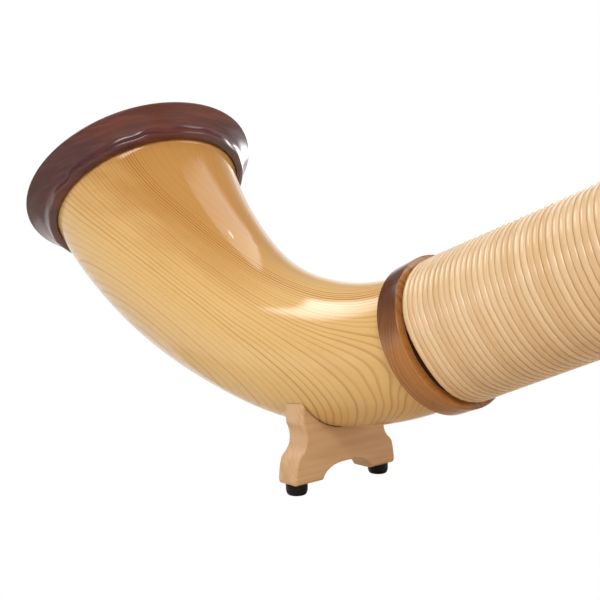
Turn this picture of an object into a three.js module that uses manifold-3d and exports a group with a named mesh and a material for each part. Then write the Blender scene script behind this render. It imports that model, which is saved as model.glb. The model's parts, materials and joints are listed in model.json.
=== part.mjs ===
// An alphorn: a curved bell on a foot, and a long tapering tube in three sections.
// Lengths are millimetres, angles are degrees, +Z is up.
// The horn is drawn along its tube first: X runs from the collar to the mouthpiece and the bell bends up.
// At the end the whole horn is laid down on its rubber feet and mouthpiece.

import * as THREE from 'three';
import { mergeVertices } from 'three/addons/utils/BufferGeometryUtils.js';
import Module from 'manifold-3d';

const wasm = await Module();
wasm.setup();

// Clearances and cuts
const seatGap = 0.3; // between pieces that lie on each other
const runningFit = 0.35; // between a tenon and its socket
const cutOverrun = 5; // how far a cutting body runs past the piece

// Facets round the round pieces
const shellFacets = 24;
const bellFacets = 24;
const ringFacets = 32;
const endFacets = 24;
const smallFacets = 16;

// The tube in its three sections
const tube = {
  bellSectionLength: 800, // from the collar to the lower joint
  middleSectionLength: 1080,
  handSectionLength: 1000,
  rootRadius: 45.3, // outside of the wood beside the collar
  handRadius: 12.3, // outside of the wood at the mouthpiece
  taperPower: 1.6, // how much the taper eases towards the hand
  flareShare: 0.24, // of the growth, belongs to a flare beside the bell
  flarePower: 8,
  wall: 6,
  stationShares: [0, 0.15, 0.48, 1], // of each section, where its outline is drawn through
};

// The bent bell, whose centreline starts at the collar and bends up
const bell = {
  reach: 283.4, // from the collar to the neck of the rim, along the tube
  rise: 221.6, // from the tube's axis up to the neck of the rim
  bendAngle: 75.3,
  startHandle: 171.5,
  endHandle: 60,
  neckRadius: 87.2, // outside of the wood where the rim ring starts
  wall: 6,
  stations: 12,
  flareShares: [0, 0.181, 0.339, 0.661, 1], // of the growth in radius, at each quarter of the length
};

// The turned ring round the mouth of the bell
const rim = {
  edgeRadius: 110,
  edgeFromNeck: 22.8, // from the neck to the widest circle
  frontDepth: 5, // from the widest circle to the mouth
  seatDepth: 8, // how far the bell's wood stands in the ring
  lip: 1.4, // thickness of the ring's thin back edge
  mouthRadius: 99,
  faceRadius: 103.5,
  beadLength: 4.5,
  beadHeight: 6.4,
};

// The collar where the bell meets the winding
const collar = {
  width: 16.8,
  radius: 51.2,
  rounding: 2,
};

// The cane wound round the tube
const cane = {
  width: 3.5,
  height: 3.1,
  pitch: 4.06,
  loops: 24,
  stepsPerLoop: 24,
  sides: 6,
};

// Turned end rings, brass sleeves and seals at the two joints
const joint = {
  ringLength: 24,
  ringProud: 2.4, // how far a ring stands above the winding
  ringRounding: 1.6,
  tenonLength: 50, // the part that goes into the socket
  tenonRoot: 30, // the part that stays in its own section
  tenonWall: 2.2,
  socketWall: 1.6,
  grooveDepth: 1.5,
  grooveWidth: 2.6,
  sealThickness: 1.35,
  sealWidth: 2,
  firstGroove: 12, // from the tenon's tip
  secondGroove: 32,
};

// The mouthpiece and the sleeve that it sits in
const mouthpiece = {
  shankLength: 40, // the part inside the sleeve
  tipRadius: 5.4,
  shankRadius: 6.6,
  neckLength: 12,
  neckRadius: 7.4,
  beadRadius: 10.5,
  beadLength: 7,
  cupLength: 30,
  cupRadius: 18.5,
  rimDepth: 4,
  rimInnerRadius: 9.5,
  throatRadius: 2.7,
  cupDepth: 20,
  tipBoreRadius: 3.9,
};
const receiver = {
  wall: 1.6,
  flangeRadius: 12,
  flangeThickness: 2,
};

// The foot under the bell
const foot = {
  along: 93.8, // from the collar, along the bell's centreline
  playingAngle: 20.23, // the tube's slope at which the soles stand flat
  thickness: 19.2,
  standHeight: 34.7, // from the bell's underside to the board's sole
  soleHalfWidth: 50.5,
  shoulderHalfWidth: 47.6,
  shoulderHeight: 16.4,
  waistHalfWidth: 38.9,
  waistHeight: 30,
  tipHalfWidth: 41.3,
  tipHeight: 42,
  archHalfWidth: 23.5,
  archHeight: 9.8,
  edgeRounding: 1.6,
  outlineSteps: 4,
};
const rubber = {
  topRadius: 7.8,
  soleRadius: 6.2,
  height: 7.9,
  sideRounding: 1.5,
  inset: 9.4, // from the end of the board to the rubber's centre
};
const screw = {
  headRadius: 3.2,
  headHeight: 2.2,
  headDepth: 3, // how far the head lies inside the rubber's sole
  shankRadius: 1.9,
  length: 22,
};
const dowel = {
  radius: 4,
  fromMiddle: 16,
  intoBell: 3.6,
  intoBoard: 18,
};

const tubeLength = tube.bellSectionLength + tube.middleSectionLength + tube.handSectionLength;
const lowerJoint = { name: 'lower', x: tube.bellSectionLength, facets: ringFacets };
const upperJoint = { name: 'upper', x: lowerJoint.x + tube.middleSectionLength, facets: endFacets };

// The tube's outline as (distance, radius) points, straight from each to the next
function smoothRadius(x) {
  const left = 1 - x / tubeLength;
  const taper = (1 - tube.flareShare) * left ** tube.taperPower + tube.flareShare * left ** tube.flarePower;
  return tube.handRadius + (tube.rootRadius - tube.handRadius) * taper;
}

const tubeStations = [
  [0, tube.bellSectionLength],
  [lowerJoint.x, tube.middleSectionLength],
  [upperJoint.x, tube.handSectionLength],
].flatMap(([start, length]) => tube.stationShares.slice(1).map((share) => start + share * length));
const tubeOutline = [0, ...tubeStations].map((x) => new THREE.Vector2(x, smoothRadius(x)));

// Radii along the tube
function woodRadius(x) {
  const after = Math.max(tubeOutline.findIndex((point) => point.x >= x), 1);
  const [a, b] = [tubeOutline[after - 1], tubeOutline[after]];
  return THREE.MathUtils.mapLinear(x, a.x, b.x, a.y, b.y);
}

function boreRadius(x) {
  return woodRadius(x) - tube.wall;
}

function windingRadius(x) {
  return woodRadius(x) + seatGap + cane.height;
}

// The points of one such radius from low to high
function tubeLine(low, high, radiusAt) {
  const between = tubeOutline.map((point) => point.x).filter((x) => x > low && x < high);
  return [low, ...between, high].map((x) => new THREE.Vector2(x, radiusAt(x)));
}

// The radius of a faceted bore whose flats clear a round of the given radius
function clearBore(radius, facets) {
  return radius / Math.cos(Math.PI / facets);
}

// Materials
const finish = {
  spruce: { color: 0xd9ae6c, roughness: 0.25 },
  walnut: { color: 0x7a4a2c, roughness: 0.3 },
  rosewood: { color: 0x4a2620, roughness: 0.2 },
  maple: { color: 0xc79c6e, roughness: 0.5 },
  cane: { color: 0xe6c99a, roughness: 0.45 },
  brass: { color: 0xb9923f, roughness: 0.3, metalness: 1 },
  steel: { color: 0x9a9a98, roughness: 0.35, metalness: 1 },
  rubber: { color: 0x141414, roughness: 0.8 },
  beech: { color: 0xc9a57a, roughness: 0.6 },
};

function named(name, geometry, look) {
  const mesh = new THREE.Mesh(geometry, new THREE.MeshStandardMaterial(finish[look]));
  mesh.name = name;
  return mesh;
}

// Solids for joining and cutting
function toSolid(geometry) {
  const bare = geometry.clone();
  bare.deleteAttribute('normal');
  bare.deleteAttribute('uv');
  const merged = mergeVertices(bare);
  const vertProperties = new Float32Array(merged.attributes.position.array);
  const triVerts = new Uint32Array(merged.index.array);
  return new wasm.Manifold(new wasm.Mesh({ numProp: 3, vertProperties, triVerts }));
}

function toGeometry(solid) {
  const mesh = solid.getMesh();
  const geometry = new THREE.BufferGeometry();
  geometry.setAttribute('position', new THREE.BufferAttribute(new Float32Array(mesh.vertProperties), 3));
  geometry.setIndex(Array.from(mesh.triVerts));
  geometry.computeVertexNormals();
  return geometry;
}

function cut(geometry, ...tools) {
  let solid = toSolid(geometry);
  for (const tool of tools) solid = solid.subtract(toSolid(tool));
  return toGeometry(solid);
}

// A closed body from points and triangles, turned so that its faces look out
function closedBody(points, triangles) {
  let volume = 0;
  for (const [a, b, c] of triangles) {
    volume += points[a].dot(new THREE.Vector3().crossVectors(points[b], points[c]));
  }
  const outward = volume > 0 ? triangles : triangles.map(([a, b, c]) => [a, c, b]);
  const geometry = new THREE.BufferGeometry().setFromPoints(points);
  geometry.setIndex(outward.flat());
  geometry.computeVertexNormals();
  return geometry;
}

// Triangles that fill an upright outline of placed points, wound the way its points run
function fillFlat(points) {
  const flat = points.map((point) => new THREE.Vector2(point.x, point.z));
  const fill = THREE.ShapeUtils.triangulateShape(flat, []);
  return THREE.ShapeUtils.isClockWise(flat) ? fill.map(([a, b, c]) => [a, c, b]) : fill;
}

// Half of a hollow body: a closed profile of (station, radius) points, swept from top to bottom on one side
function halfShell(profile, facets, side, place) {
  const steps = facets / 2;
  const points = [];
  for (let j = 0; j <= steps; j += 1) {
    const angle = Math.PI * j / steps;
    for (const { x: station, y: radius } of profile) {
      const point = place(station, radius, angle);
      point.y = side * Math.max(point.y, seatGap / 2);
      points.push(point);
    }
  }
  const count = profile.length;
  const triangles = [];
  for (let j = 0; j < steps; j += 1) {
    for (let k = 0; k < count; k += 1) {
      const next = (k + 1) % count;
      const near = j * count;
      const far = near + count;
      triangles.push([near + k, near + next, far + next], [near + k, far + next, far + k]);
    }
  }
  const last = steps * count;
  for (const [a, b, c] of fillFlat(points.slice(0, count))) triangles.push([a, c, b]);
  for (const [a, b, c] of fillFlat(points.slice(last))) triangles.push([last + a, last + b, last + c]);
  return closedBody(points, triangles);
}

function alongTube(station, radius, angle) {
  return new THREE.Vector3(station, radius * Math.sin(angle), radius * Math.cos(angle));
}

// A full ring turned about the tube's axis, from a closed list of [x, radius] points
function turned(profile, facets) {
  const points = profile.map(([x, radius]) => new THREE.Vector2(radius, x));
  points.push(points[0].clone());
  return new THREE.LatheGeometry(points, facets).rotateZ(-Math.PI / 2);
}

// The same ring turned about the vertical
function turnedUpright(profile, facets) {
  const points = profile.map(([radius, z]) => new THREE.Vector2(radius, z));
  points.push(points[0].clone());
  return new THREE.LatheGeometry(points, facets).rotateX(Math.PI / 2);
}

function uprightPin(radius, low, high) {
  const pin = new THREE.CylinderGeometry(radius, radius, high - low, smallFacets);
  return pin.rotateX(Math.PI / 2).translate(0, 0, (low + high) / 2);
}

// The bell's centreline, as a frame at each distance from the collar
const bend = THREE.MathUtils.degToRad(bell.bendAngle);
const neck = new THREE.Vector3(-bell.reach, 0, bell.rise);
const neckDirection = new THREE.Vector3(-Math.cos(bend), 0, Math.sin(bend));
const bellLine = new THREE.CubicBezierCurve3(
  new THREE.Vector3(0, 0, 0),
  new THREE.Vector3(-bell.startHandle, 0, 0),
  neck.clone().addScaledVector(neckDirection, -bell.endHandle),
  neck,
);
const bellLength = bellLine.getLength();

function bellFrame(distance) {
  const share = THREE.MathUtils.clamp(distance / bellLength, 0, 1);
  const beyond = distance - share * bellLength;
  const forward = bellLine.getTangentAt(share);
  const centre = bellLine.getPointAt(share).addScaledVector(forward, beyond);
  const inward = new THREE.Vector3(forward.z, 0, -forward.x);
  return { centre, forward, inward };
}

function alongBell(station, radius, angle) {
  const { centre, inward } = bellFrame(station);
  const point = centre.addScaledVector(inward, radius * Math.cos(angle));
  point.y = radius * Math.sin(angle);
  return point;
}

// The outside of the bell as (distance, radius) points, smooth through five stations
function bellOutline() {
  const growth = bell.neckRadius - tube.rootRadius;
  const quarters = bell.flareShares.length - 1;
  const stations = bell.flareShares.map(
    (share, i) => new THREE.Vector2(bellLength * i / quarters, tube.rootRadius + growth * share),
  );
  return new THREE.SplineCurve(stations).getPoints(bell.stations);
}

function bellRadiusAt(distance) {
  const outline = bellOutline();
  const after = outline.findIndex((point) => point.x >= distance);
  const [a, b] = [outline[after - 1], outline[after]];
  return THREE.MathUtils.mapLinear(distance, a.x, b.x, a.y, b.y);
}

// One half of the bell, from under the collar to inside the rim ring
function bellHalf(side) {
  const outline = bellOutline();
  const seat = collar.width / 2 - seatGap / 2;
  const root = new THREE.Vector2(-seat, tube.rootRadius);
  const end = new THREE.Vector2(bellLength + rim.seatDepth - seatGap, bell.neckRadius);
  const outside = [root, ...outline, end];
  const inside = outside.map((point) => new THREE.Vector2(point.x, point.y - bell.wall)).reverse();
  const half = halfShell([...outside, ...inside], bellFacets, side, alongBell);
  const middle = bellFrame(foot.along).centre;
  const tools = [-1, 1].map((way) => footToHorn(dowelHole(way), middle));
  return cut(half, ...tools);
}

// The bell filled in and grown by a gap, for cutting the foot's saddle
function bellSpace() {
  const points = [];
  const triangles = [];
  const outline = bellOutline();
  for (const { x: station, y: radius } of outline) {
    for (let j = 0; j < bellFacets; j += 1) {
      points.push(alongBell(station, radius + seatGap, 2 * Math.PI * j / bellFacets));
    }
  }
  const last = (outline.length - 1) * bellFacets;
  for (let j = 0; j < bellFacets; j += 1) {
    const next = (j + 1) % bellFacets;
    for (let near = 0; near < last; near += bellFacets) {
      const far = near + bellFacets;
      triangles.push([near + j, near + next, far + next], [near + j, far + next, far + j]);
    }
    if (j > 0 && j < bellFacets - 1) triangles.push([0, j + 1, j], [last, last + j, last + j + 1]);
  }
  return closedBody(points, triangles);
}

// The rim ring: a bead at the neck, a flared back, a rounded edge and an open mouth
function rimRing() {
  const seatRadius = clearBore(bell.neckRadius + seatGap, ringFacets);
  const back = seatRadius + rim.lip;
  const edge = rim.edgeFromNeck;
  const mouth = edge + rim.frontDepth;
  const rise = rim.edgeRadius - back - rim.beadHeight;
  const run = edge - rim.beadLength;
  const beadShares = [[0.12, 0.5], [0.45, 0.86]];
  const flareShares = [[0.35, 0.24], [0.75, 0.66]];
  const frontShares = [[0.35, 0.14], [0.75, 0.5]];
  const boreShares = [[0.7, 0.52], [0.35, 0.18]];
  const innerRadius = bell.neckRadius - bell.wall;
  const boreRun = mouth - rim.seatDepth - rim.frontDepth / 2;
  const boreGrowth = rim.mouthRadius - innerRadius;
  const front = rim.edgeRadius - rim.faceRadius;
  const profile = [
    [0, seatRadius],
    [0, back],
    ...beadShares.map(([x, r]) => [x * rim.beadLength, back + r * rim.beadHeight]),
    [rim.beadLength, back + rim.beadHeight],
    ...flareShares.map(([x, r]) => [rim.beadLength + x * run, back + rim.beadHeight + r * rise]),
    [edge, rim.edgeRadius],
    ...frontShares.map(([x, r]) => [edge + x * rim.frontDepth, rim.edgeRadius - r * front]),
    [mouth, rim.faceRadius],
    [mouth - rim.frontDepth / 2, rim.mouthRadius],
    ...boreShares.map(([x, r]) => [rim.seatDepth + x * boreRun, innerRadius + r * boreGrowth]),
    [rim.seatDepth, innerRadius],
    [rim.seatDepth, seatRadius],
  ];
  const ring = named('bell_rim_ring', turned(profile, ringFacets), 'rosewood');
  ring.position.copy(neck);
  ring.quaternion.setFromUnitVectors(new THREE.Vector3(1, 0, 0), neckDirection);
  return ring;
}

// A turned ring on the tube with rounded outer edges
function bandProfile(low, high, innerLow, innerHigh, outer, rounding) {
  return [
    [low, innerLow],
    [low, outer - rounding],
    [low + rounding, outer],
    [high - rounding, outer],
    [high, outer - rounding],
    [high, innerHigh],
  ];
}

function collarRing() {
  const inner = clearBore(tube.rootRadius + seatGap, ringFacets);
  const profile = bandProfile(0, collar.width, inner, inner, collar.radius, collar.rounding);
  return named('collar_ring', turned(profile, ringFacets), 'walnut');
}

function endRing(name, low, high, facets) {
  const innerLow = clearBore(woodRadius(low) + seatGap, facets);
  const innerHigh = clearBore(woodRadius(high) + seatGap, facets);
  const outer = windingRadius(low) + joint.ringProud;
  const profile = bandProfile(low, high, innerLow, innerHigh, outer, joint.ringRounding);
  return named(name, turned(profile, facets), 'walnut');
}

// One half of a tube section, with a counterbore at each end for what sits in it
function tubeHalf(name, side, start, end, startBore, endBore) {
  const low = start + startBore.depth;
  const high = end - endBore.depth;
  const outside = tubeLine(start, end, woodRadius);
  const inside = tubeLine(low, high, boreRadius);
  const wide = ({ radius }, ...stations) => stations.map((x) => new THREE.Vector2(x, radius));
  if (startBore.depth > 0) inside.unshift(...wide(startBore, start, low));
  if (endBore.depth > 0) inside.push(...wide(endBore, high, end));
  return named(name, halfShell([...outside, ...inside.reverse()], shellFacets, side, alongTube), 'spruce');
}

// The rest of a winding, as one sleeve of its outer shape
function windingSleeve(name, start, end) {
  const outside = tubeLine(start, end, windingRadius);
  const inside = tubeLine(start, end, (x) => woodRadius(x) + seatGap);
  const profile = [...outside, ...inside.reverse()].map((point) => point.toArray());
  return named(name, turned(profile, shellFacets), 'cane');
}

// The winding beside the collar: one unbroken cane, a loop at a time, its ends running straight
function woundCane() {
  const steps = cane.loops * cane.stepsPerLoop;
  const firstX = collar.width + seatGap + cane.width / 2;
  const path = [];
  for (let i = 0; i <= steps; i += 1) {
    const turn = 2 * Math.PI * i / cane.stepsPerLoop;
    const x = firstX + cane.pitch * i / cane.stepsPerLoop;
    const radius = (woodRadius(x) + seatGap + cane.height / 2) / Math.cos(Math.PI / cane.stepsPerLoop);
    const out = new THREE.Vector3(0, Math.sin(turn), Math.cos(turn));
    path.push({ centre: new THREE.Vector3(x, 0, 0).addScaledVector(out, radius), out });
  }
  const straight = (end, before) => {
    const way = end.centre.clone().sub(before.centre).projectOnPlane(end.out).normalize();
    return { centre: end.centre.clone().addScaledVector(way, cane.width), out: end.out };
  };
  path.unshift(straight(path[0], path[1]));
  path.push(straight(path.at(-1), path.at(-2)));
  const across = new THREE.Vector3(1, 0, 0);
  const points = [];
  for (const { centre, out } of path) {
    for (let side = 0; side < cane.sides; side += 1) {
      const angle = 2 * Math.PI * side / cane.sides;
      const point = centre.clone().addScaledVector(across, cane.width / 2 * Math.cos(angle));
      points.push(point.addScaledVector(out, cane.height / 2 * Math.sin(angle)));
    }
  }
  const triangles = [];
  const last = (path.length - 1) * cane.sides;
  for (let near = 0; near < last; near += cane.sides) {
    for (let side = 0; side < cane.sides; side += 1) {
      const next = (side + 1) % cane.sides;
      const far = near + cane.sides;
      triangles.push([near + side, near + next, far + next], [near + side, far + next, far + side]);
    }
  }
  for (let side = 1; side < cane.sides - 1; side += 1) {
    triangles.push([0, side + 1, side], [last, last + side, last + side + 1]);
  }
  console.log('least gap of the cane to itself, mm:', leastGap(points).toFixed(2));
  return named('cane_winding_at_collar', closedBody(points, triangles), 'cane');
}

// The least distance between points on one loop and points on the next
function leastGap(points) {
  const loop = cane.stepsPerLoop * cane.sides;
  let least = Infinity;
  for (let i = 0; i + loop < points.length; i += 1) {
    const from = i + loop - (i % cane.sides) - cane.sides;
    for (let k = from; k < Math.min(from + 3 * cane.sides, points.length); k += 1) {
      least = Math.min(least, points[i].distanceTo(points[k]));
    }
  }
  return least;
}

// Radii of the brass sleeves at a joint
function jointRadii({ x, facets }) {
  const bore = boreRadius(x);
  const tenon = bore + joint.tenonWall;
  const socket = clearBore(tenon + runningFit, facets);
  const socketOutside = socket + joint.socketWall;
  return {
    bore,
    tenon,
    socket,
    socketOutside,
    socketSeat: clearBore(socketOutside + seatGap, shellFacets),
    tenonSeat: clearBore(tenon + seatGap, shellFacets),
  };
}

function socketSleeve(place) {
  const { socket, socketOutside } = jointRadii(place);
  const low = place.x - joint.tenonLength - seatGap;
  const high = place.x - seatGap / 2;
  const profile = [[low, socket], [low, socketOutside], [high, socketOutside], [high, socket]];
  return named(`${place.name}_joint_socket`, turned(profile, place.facets), 'brass');
}

function grooveStarts({ x }) {
  const tip = x - joint.tenonLength;
  return [tip + joint.firstGroove, tip + joint.secondGroove];
}

function tenonSleeve(place) {
  const { bore, tenon } = jointRadii(place);
  const tip = place.x - joint.tenonLength;
  const end = place.x + joint.tenonRoot;
  const floor = tenon - joint.grooveDepth;
  const grooves = grooveStarts(place).flatMap((low) => {
    const high = low + joint.grooveWidth;
    return [[low, tenon], [low, floor], [high, floor], [high, tenon]];
  });
  const profile = [[tip, bore], [tip, tenon], ...grooves, [end, tenon], [end, bore]];
  return named(`${place.name}_joint_tenon`, turned(profile, place.facets), 'brass');
}

// Two square rubber rings lie in the tenon's grooves
function sealRings(place) {
  const { tenon } = jointRadii(place);
  const inner = clearBore(tenon - joint.grooveDepth + seatGap, place.facets);
  const outer = inner + joint.sealThickness;
  return ['front', 'back'].map((which, i) => {
    const middle = grooveStarts(place)[i] + joint.grooveWidth / 2;
    const low = middle - joint.sealWidth / 2;
    const high = middle + joint.sealWidth / 2;
    const profile = [[low, inner], [low, outer], [high, outer], [high, inner]];
    return named(`${place.name}_joint_${which}_seal`, turned(profile, place.facets), 'rubber');
  });
}

// The sleeve in the hand tube that takes the mouthpiece
function receiverRadius(depth) {
  const { shankLength, shankRadius, tipRadius } = mouthpiece;
  const shank = THREE.MathUtils.mapLinear(depth, 0, shankLength, shankRadius, tipRadius);
  return clearBore(shank + seatGap, endFacets);
}

const receiverOutside = receiverRadius(0) + receiver.wall;

function mouthpieceReceiver() {
  const deep = tubeLength - mouthpiece.shankLength;
  const end = tubeLength + seatGap;
  const face = end + receiver.flangeThickness;
  const profile = [
    [deep, receiverRadius(mouthpiece.shankLength)],
    [deep, receiverOutside],
    [end, receiverOutside],
    [end, receiver.flangeRadius],
    [face, receiver.flangeRadius],
    [face, receiverRadius(0)],
  ];
  return named('mouthpiece_receiver', turned(profile, endFacets), 'brass');
}

// The turned mouthpiece, from the tip of its shank to the rim of its cup
function mouthpieceBody() {
  const { shankLength, neckLength, beadLength, cupLength, rimDepth } = mouthpiece;
  const start = tubeLength + receiver.flangeThickness + 2 * seatGap;
  const tip = start - shankLength;
  const bead = start + neckLength;
  const cup = bead + beadLength;
  const face = cup + cupLength;
  const lip = face - rimDepth / 4;
  const beadShares = [[0.3, 0.85], [0.7, 0.85]];
  const cupShares = [[0.22, 0.2], [0.5, 0.72]];
  const innerShares = [[0.3, 0.78], [0.65, 0.4]];
  const grow = mouthpiece.cupRadius - mouthpiece.neckRadius;
  const bulge = mouthpiece.beadRadius - mouthpiece.neckRadius;
  const hollow = mouthpiece.rimInnerRadius - mouthpiece.throatRadius;
  const profile = [
    [tip, mouthpiece.tipBoreRadius],
    [tip, mouthpiece.tipRadius],
    [start, mouthpiece.shankRadius],
    [start, mouthpiece.neckRadius],
    [bead, mouthpiece.neckRadius],
    ...beadShares.map(([x, r]) => [bead + x * beadLength, mouthpiece.neckRadius + r * bulge]),
    [cup, mouthpiece.neckRadius],
    ...cupShares.map(([x, r]) => [cup + x * cupLength, mouthpiece.neckRadius + r * grow]),
    [face - rimDepth, mouthpiece.cupRadius],
    [lip, mouthpiece.cupRadius - rimDepth / 4],
    [face, mouthpiece.cupRadius - rimDepth],
    [lip, mouthpiece.rimInnerRadius],
    ...innerShares.map(([x, r]) => [lip - x * mouthpiece.cupDepth, mouthpiece.throatRadius + r * hollow]),
    [face - mouthpiece.cupDepth, mouthpiece.throatRadius],
  ];
  return named('mouthpiece', turned(profile, endFacets), 'maple');
}

// The foot is drawn with its origin on the bell's axis, upright when the horn is played
const underside = -bellRadiusAt(foot.along);
const soleHeight = underside - foot.standHeight;
const rubberSole = soleHeight - seatGap - rubber.height;

function footToHorn(geometry, origin) {
  geometry.rotateY(THREE.MathUtils.degToRad(foot.playingAngle));
  return geometry.translate(origin.x, origin.y, origin.z);
}

function hornToFoot(geometry, origin) {
  geometry.translate(-origin.x, -origin.y, -origin.z);
  return geometry.rotateY(-THREE.MathUtils.degToRad(foot.playingAngle));
}

function dowelHole(way) {
  const radius = dowel.radius + seatGap;
  const low = underside - dowel.intoBoard - seatGap;
  const high = underside + dowel.intoBell + seatGap;
  return uprightPin(radius, low, high).translate(0, way * dowel.fromMiddle, 0);
}

const rubberPlace = foot.soleHalfWidth - rubber.inset;

// The board's outline from the front: ogee sides, a saddle on top and an arch below
function boardOutline() {
  const side = new THREE.SplineCurve([
    new THREE.Vector2(foot.soleHalfWidth, 0),
    new THREE.Vector2(foot.shoulderHalfWidth, foot.shoulderHeight),
    new THREE.Vector2(foot.waistHalfWidth, foot.waistHeight),
    new THREE.Vector2(foot.tipHalfWidth, foot.tipHeight),
  ]).getPoints(2 * foot.outlineSteps);
  const top = new THREE.Vector2(foot.tipHalfWidth, -soleHeight);
  const archControlShare = 0.62;
  const arch = new THREE.QuadraticBezierCurve(
    new THREE.Vector2(0, foot.archHeight),
    new THREE.Vector2(foot.archHalfWidth * archControlShare, foot.archHeight),
    new THREE.Vector2(foot.archHalfWidth, 0),
  ).getPoints(foot.outlineSteps);
  const right = [...arch, ...side, top];
  const left = right.slice(1).map((point) => new THREE.Vector2(-point.x, point.y)).reverse();
  return [...left, ...right].map((point) => new THREE.Vector2(point.x, point.y + soleHeight));
}

function footBoard(origin) {
  const rounding = foot.edgeRounding;
  const body = new THREE.ExtrudeGeometry(new THREE.Shape(boardOutline()), {
    depth: foot.thickness - 2 * rounding,
    bevelThickness: rounding,
    bevelSize: rounding,
    bevelOffset: -rounding,
    bevelSegments: 1,
  });
  body.translate(0, 0, rounding - foot.thickness / 2);
  const upright = new THREE.Matrix4().makeBasis(
    new THREE.Vector3(0, 1, 0),
    new THREE.Vector3(0, 0, 1),
    new THREE.Vector3(1, 0, 0),
  );
  body.applyMatrix4(upright);
  const top = soleHeight - screw.headHeight + screw.length;
  const tools = [hornToFoot(bellSpace(), origin)];
  for (const way of [-1, 1]) {
    tools.push(dowelHole(way));
    const shankHole = uprightPin(screw.shankRadius + seatGap, soleHeight - cutOverrun, top);
    tools.push(shankHole.translate(0, way * rubberPlace, 0));
  }
  return named('foot_board', cut(body, ...tools), 'maple');
}

function rubberFoot(name, way) {
  const high = rubberSole + rubber.height;
  const hole = clearBore(screw.shankRadius + seatGap, smallFacets);
  const recess = clearBore(screw.headRadius + seatGap, smallFacets);
  const seat = rubberSole + screw.headDepth + screw.headHeight;
  const softShare = 0.3;
  const profile = [
    [hole, high],
    [hole, seat],
    [recess, seat],
    [recess, rubberSole],
    [rubber.soleRadius, rubberSole],
    [rubber.soleRadius + rubber.sideRounding * (1 - softShare), rubberSole + rubber.sideRounding * softShare],
    [rubber.soleRadius + rubber.sideRounding, rubberSole + 2 * rubber.sideRounding],
    [rubber.topRadius, high],
  ];
  const body = named(name, turnedUpright(profile, smallFacets), 'rubber');
  body.position.y = way * rubberPlace;
  return body;
}

function footScrew(name, way) {
  const head = rubberSole + screw.headDepth + screw.headHeight - seatGap;
  const tip = head + screw.length - screw.headHeight;
  const profile = [
    [0, head - screw.headHeight],
    [screw.headRadius, head - screw.headHeight],
    [screw.headRadius, head],
    [screw.shankRadius, head],
    [screw.shankRadius, tip - screw.shankRadius],
    [0, tip],
  ];
  const points = profile.map(([radius, z]) => new THREE.Vector2(radius, z));
  const body = named(name, new THREE.LatheGeometry(points, smallFacets).rotateX(Math.PI / 2), 'steel');
  body.position.y = way * rubberPlace;
  return body;
}

function footDowel(name, way) {
  const pin = uprightPin(dowel.radius, underside - dowel.intoBoard, underside + dowel.intoBell);
  const body = named(name, pin, 'beech');
  body.position.y = way * dowel.fromMiddle;
  return body;
}

function footGroup() {
  const origin = bellFrame(foot.along).centre;
  const group = new THREE.Group();
  group.position.copy(origin);
  group.rotation.y = THREE.MathUtils.degToRad(foot.playingAngle);
  group.add(footBoard(origin));
  for (const [side, way] of [['left', -1], ['right', 1]]) {
    group.add(rubberFoot(`rubber_foot_${side}`, way));
    group.add(footScrew(`foot_screw_${side}`, way));
    group.add(footDowel(`foot_dowel_${side}`, way));
  }
  return group;
}

// The three sections with what sits in their ends
function section(prefix, start, end, startBore, endBore) {
  return [
    tubeHalf(`${prefix}_tube_left_half`, -1, start, end, startBore, endBore),
    tubeHalf(`${prefix}_tube_right_half`, 1, start, end, startBore, endBore),
  ];
}

function bellSection() {
  const group = new THREE.Group();
  group.add(named('bell_left_half', bellHalf(-1), 'spruce'), named('bell_right_half', bellHalf(1), 'spruce'));
  group.add(rimRing(), collarRing(), footGroup());
  const start = collar.width / 2 + seatGap / 2;
  const end = lowerJoint.x - seatGap / 2;
  const socketBore = { depth: joint.tenonLength + seatGap, radius: jointRadii(lowerJoint).socketSeat };
  group.add(...section('bell_section', start, end, { depth: 0 }, socketBore));
  group.add(woundCane());
  const woundEnd = collar.width + 2 * seatGap + cane.width + cane.loops * cane.pitch;
  const ringStart = lowerJoint.x - joint.ringLength;
  group.add(windingSleeve('cane_winding_bell_section', woundEnd, ringStart - seatGap));
  group.add(endRing('bell_section_end_ring', ringStart, end, lowerJoint.facets));
  group.add(socketSleeve(lowerJoint));
  return group;
}

function middleSection() {
  const group = new THREE.Group();
  const start = lowerJoint.x + seatGap / 2;
  const end = upperJoint.x - seatGap / 2;
  const tenonBore = { depth: joint.tenonRoot + seatGap, radius: jointRadii(lowerJoint).tenonSeat };
  const socketBore = { depth: joint.tenonLength + seatGap, radius: jointRadii(upperJoint).socketSeat };
  group.add(...section('middle_section', start, end, tenonBore, socketBore));
  const firstRing = lowerJoint.x + joint.ringLength;
  const lastRing = upperJoint.x - joint.ringLength;
  group.add(endRing('middle_section_lower_ring', start, firstRing, lowerJoint.facets));
  group.add(windingSleeve('cane_winding_middle_section', firstRing + seatGap, lastRing - seatGap));
  group.add(endRing('middle_section_upper_ring', lastRing, end, upperJoint.facets));
  group.add(tenonSleeve(lowerJoint), socketSleeve(upperJoint));
  return group;
}

function handSection() {
  const group = new THREE.Group();
  const start = upperJoint.x + seatGap / 2;
  const tenonBore = { depth: joint.tenonRoot + seatGap, radius: jointRadii(upperJoint).tenonSeat };
  const receiverSeat = clearBore(receiverOutside + seatGap, shellFacets);
  const receiverBore = { depth: mouthpiece.shankLength + seatGap, radius: receiverSeat };
  group.add(...section('hand_section', start, tubeLength, tenonBore, receiverBore));
  const firstRing = upperJoint.x + joint.ringLength;
  const lastRing = tubeLength - joint.ringLength;
  group.add(endRing('hand_section_lower_ring', start, firstRing, upperJoint.facets));
  group.add(windingSleeve('cane_winding_hand_section', firstRing + seatGap, lastRing - seatGap));
  group.add(endRing('hand_section_end_ring', lastRing, tubeLength, endFacets));
  group.add(tenonSleeve(upperJoint), mouthpieceReceiver(), mouthpieceBody());
  return group;
}

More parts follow.
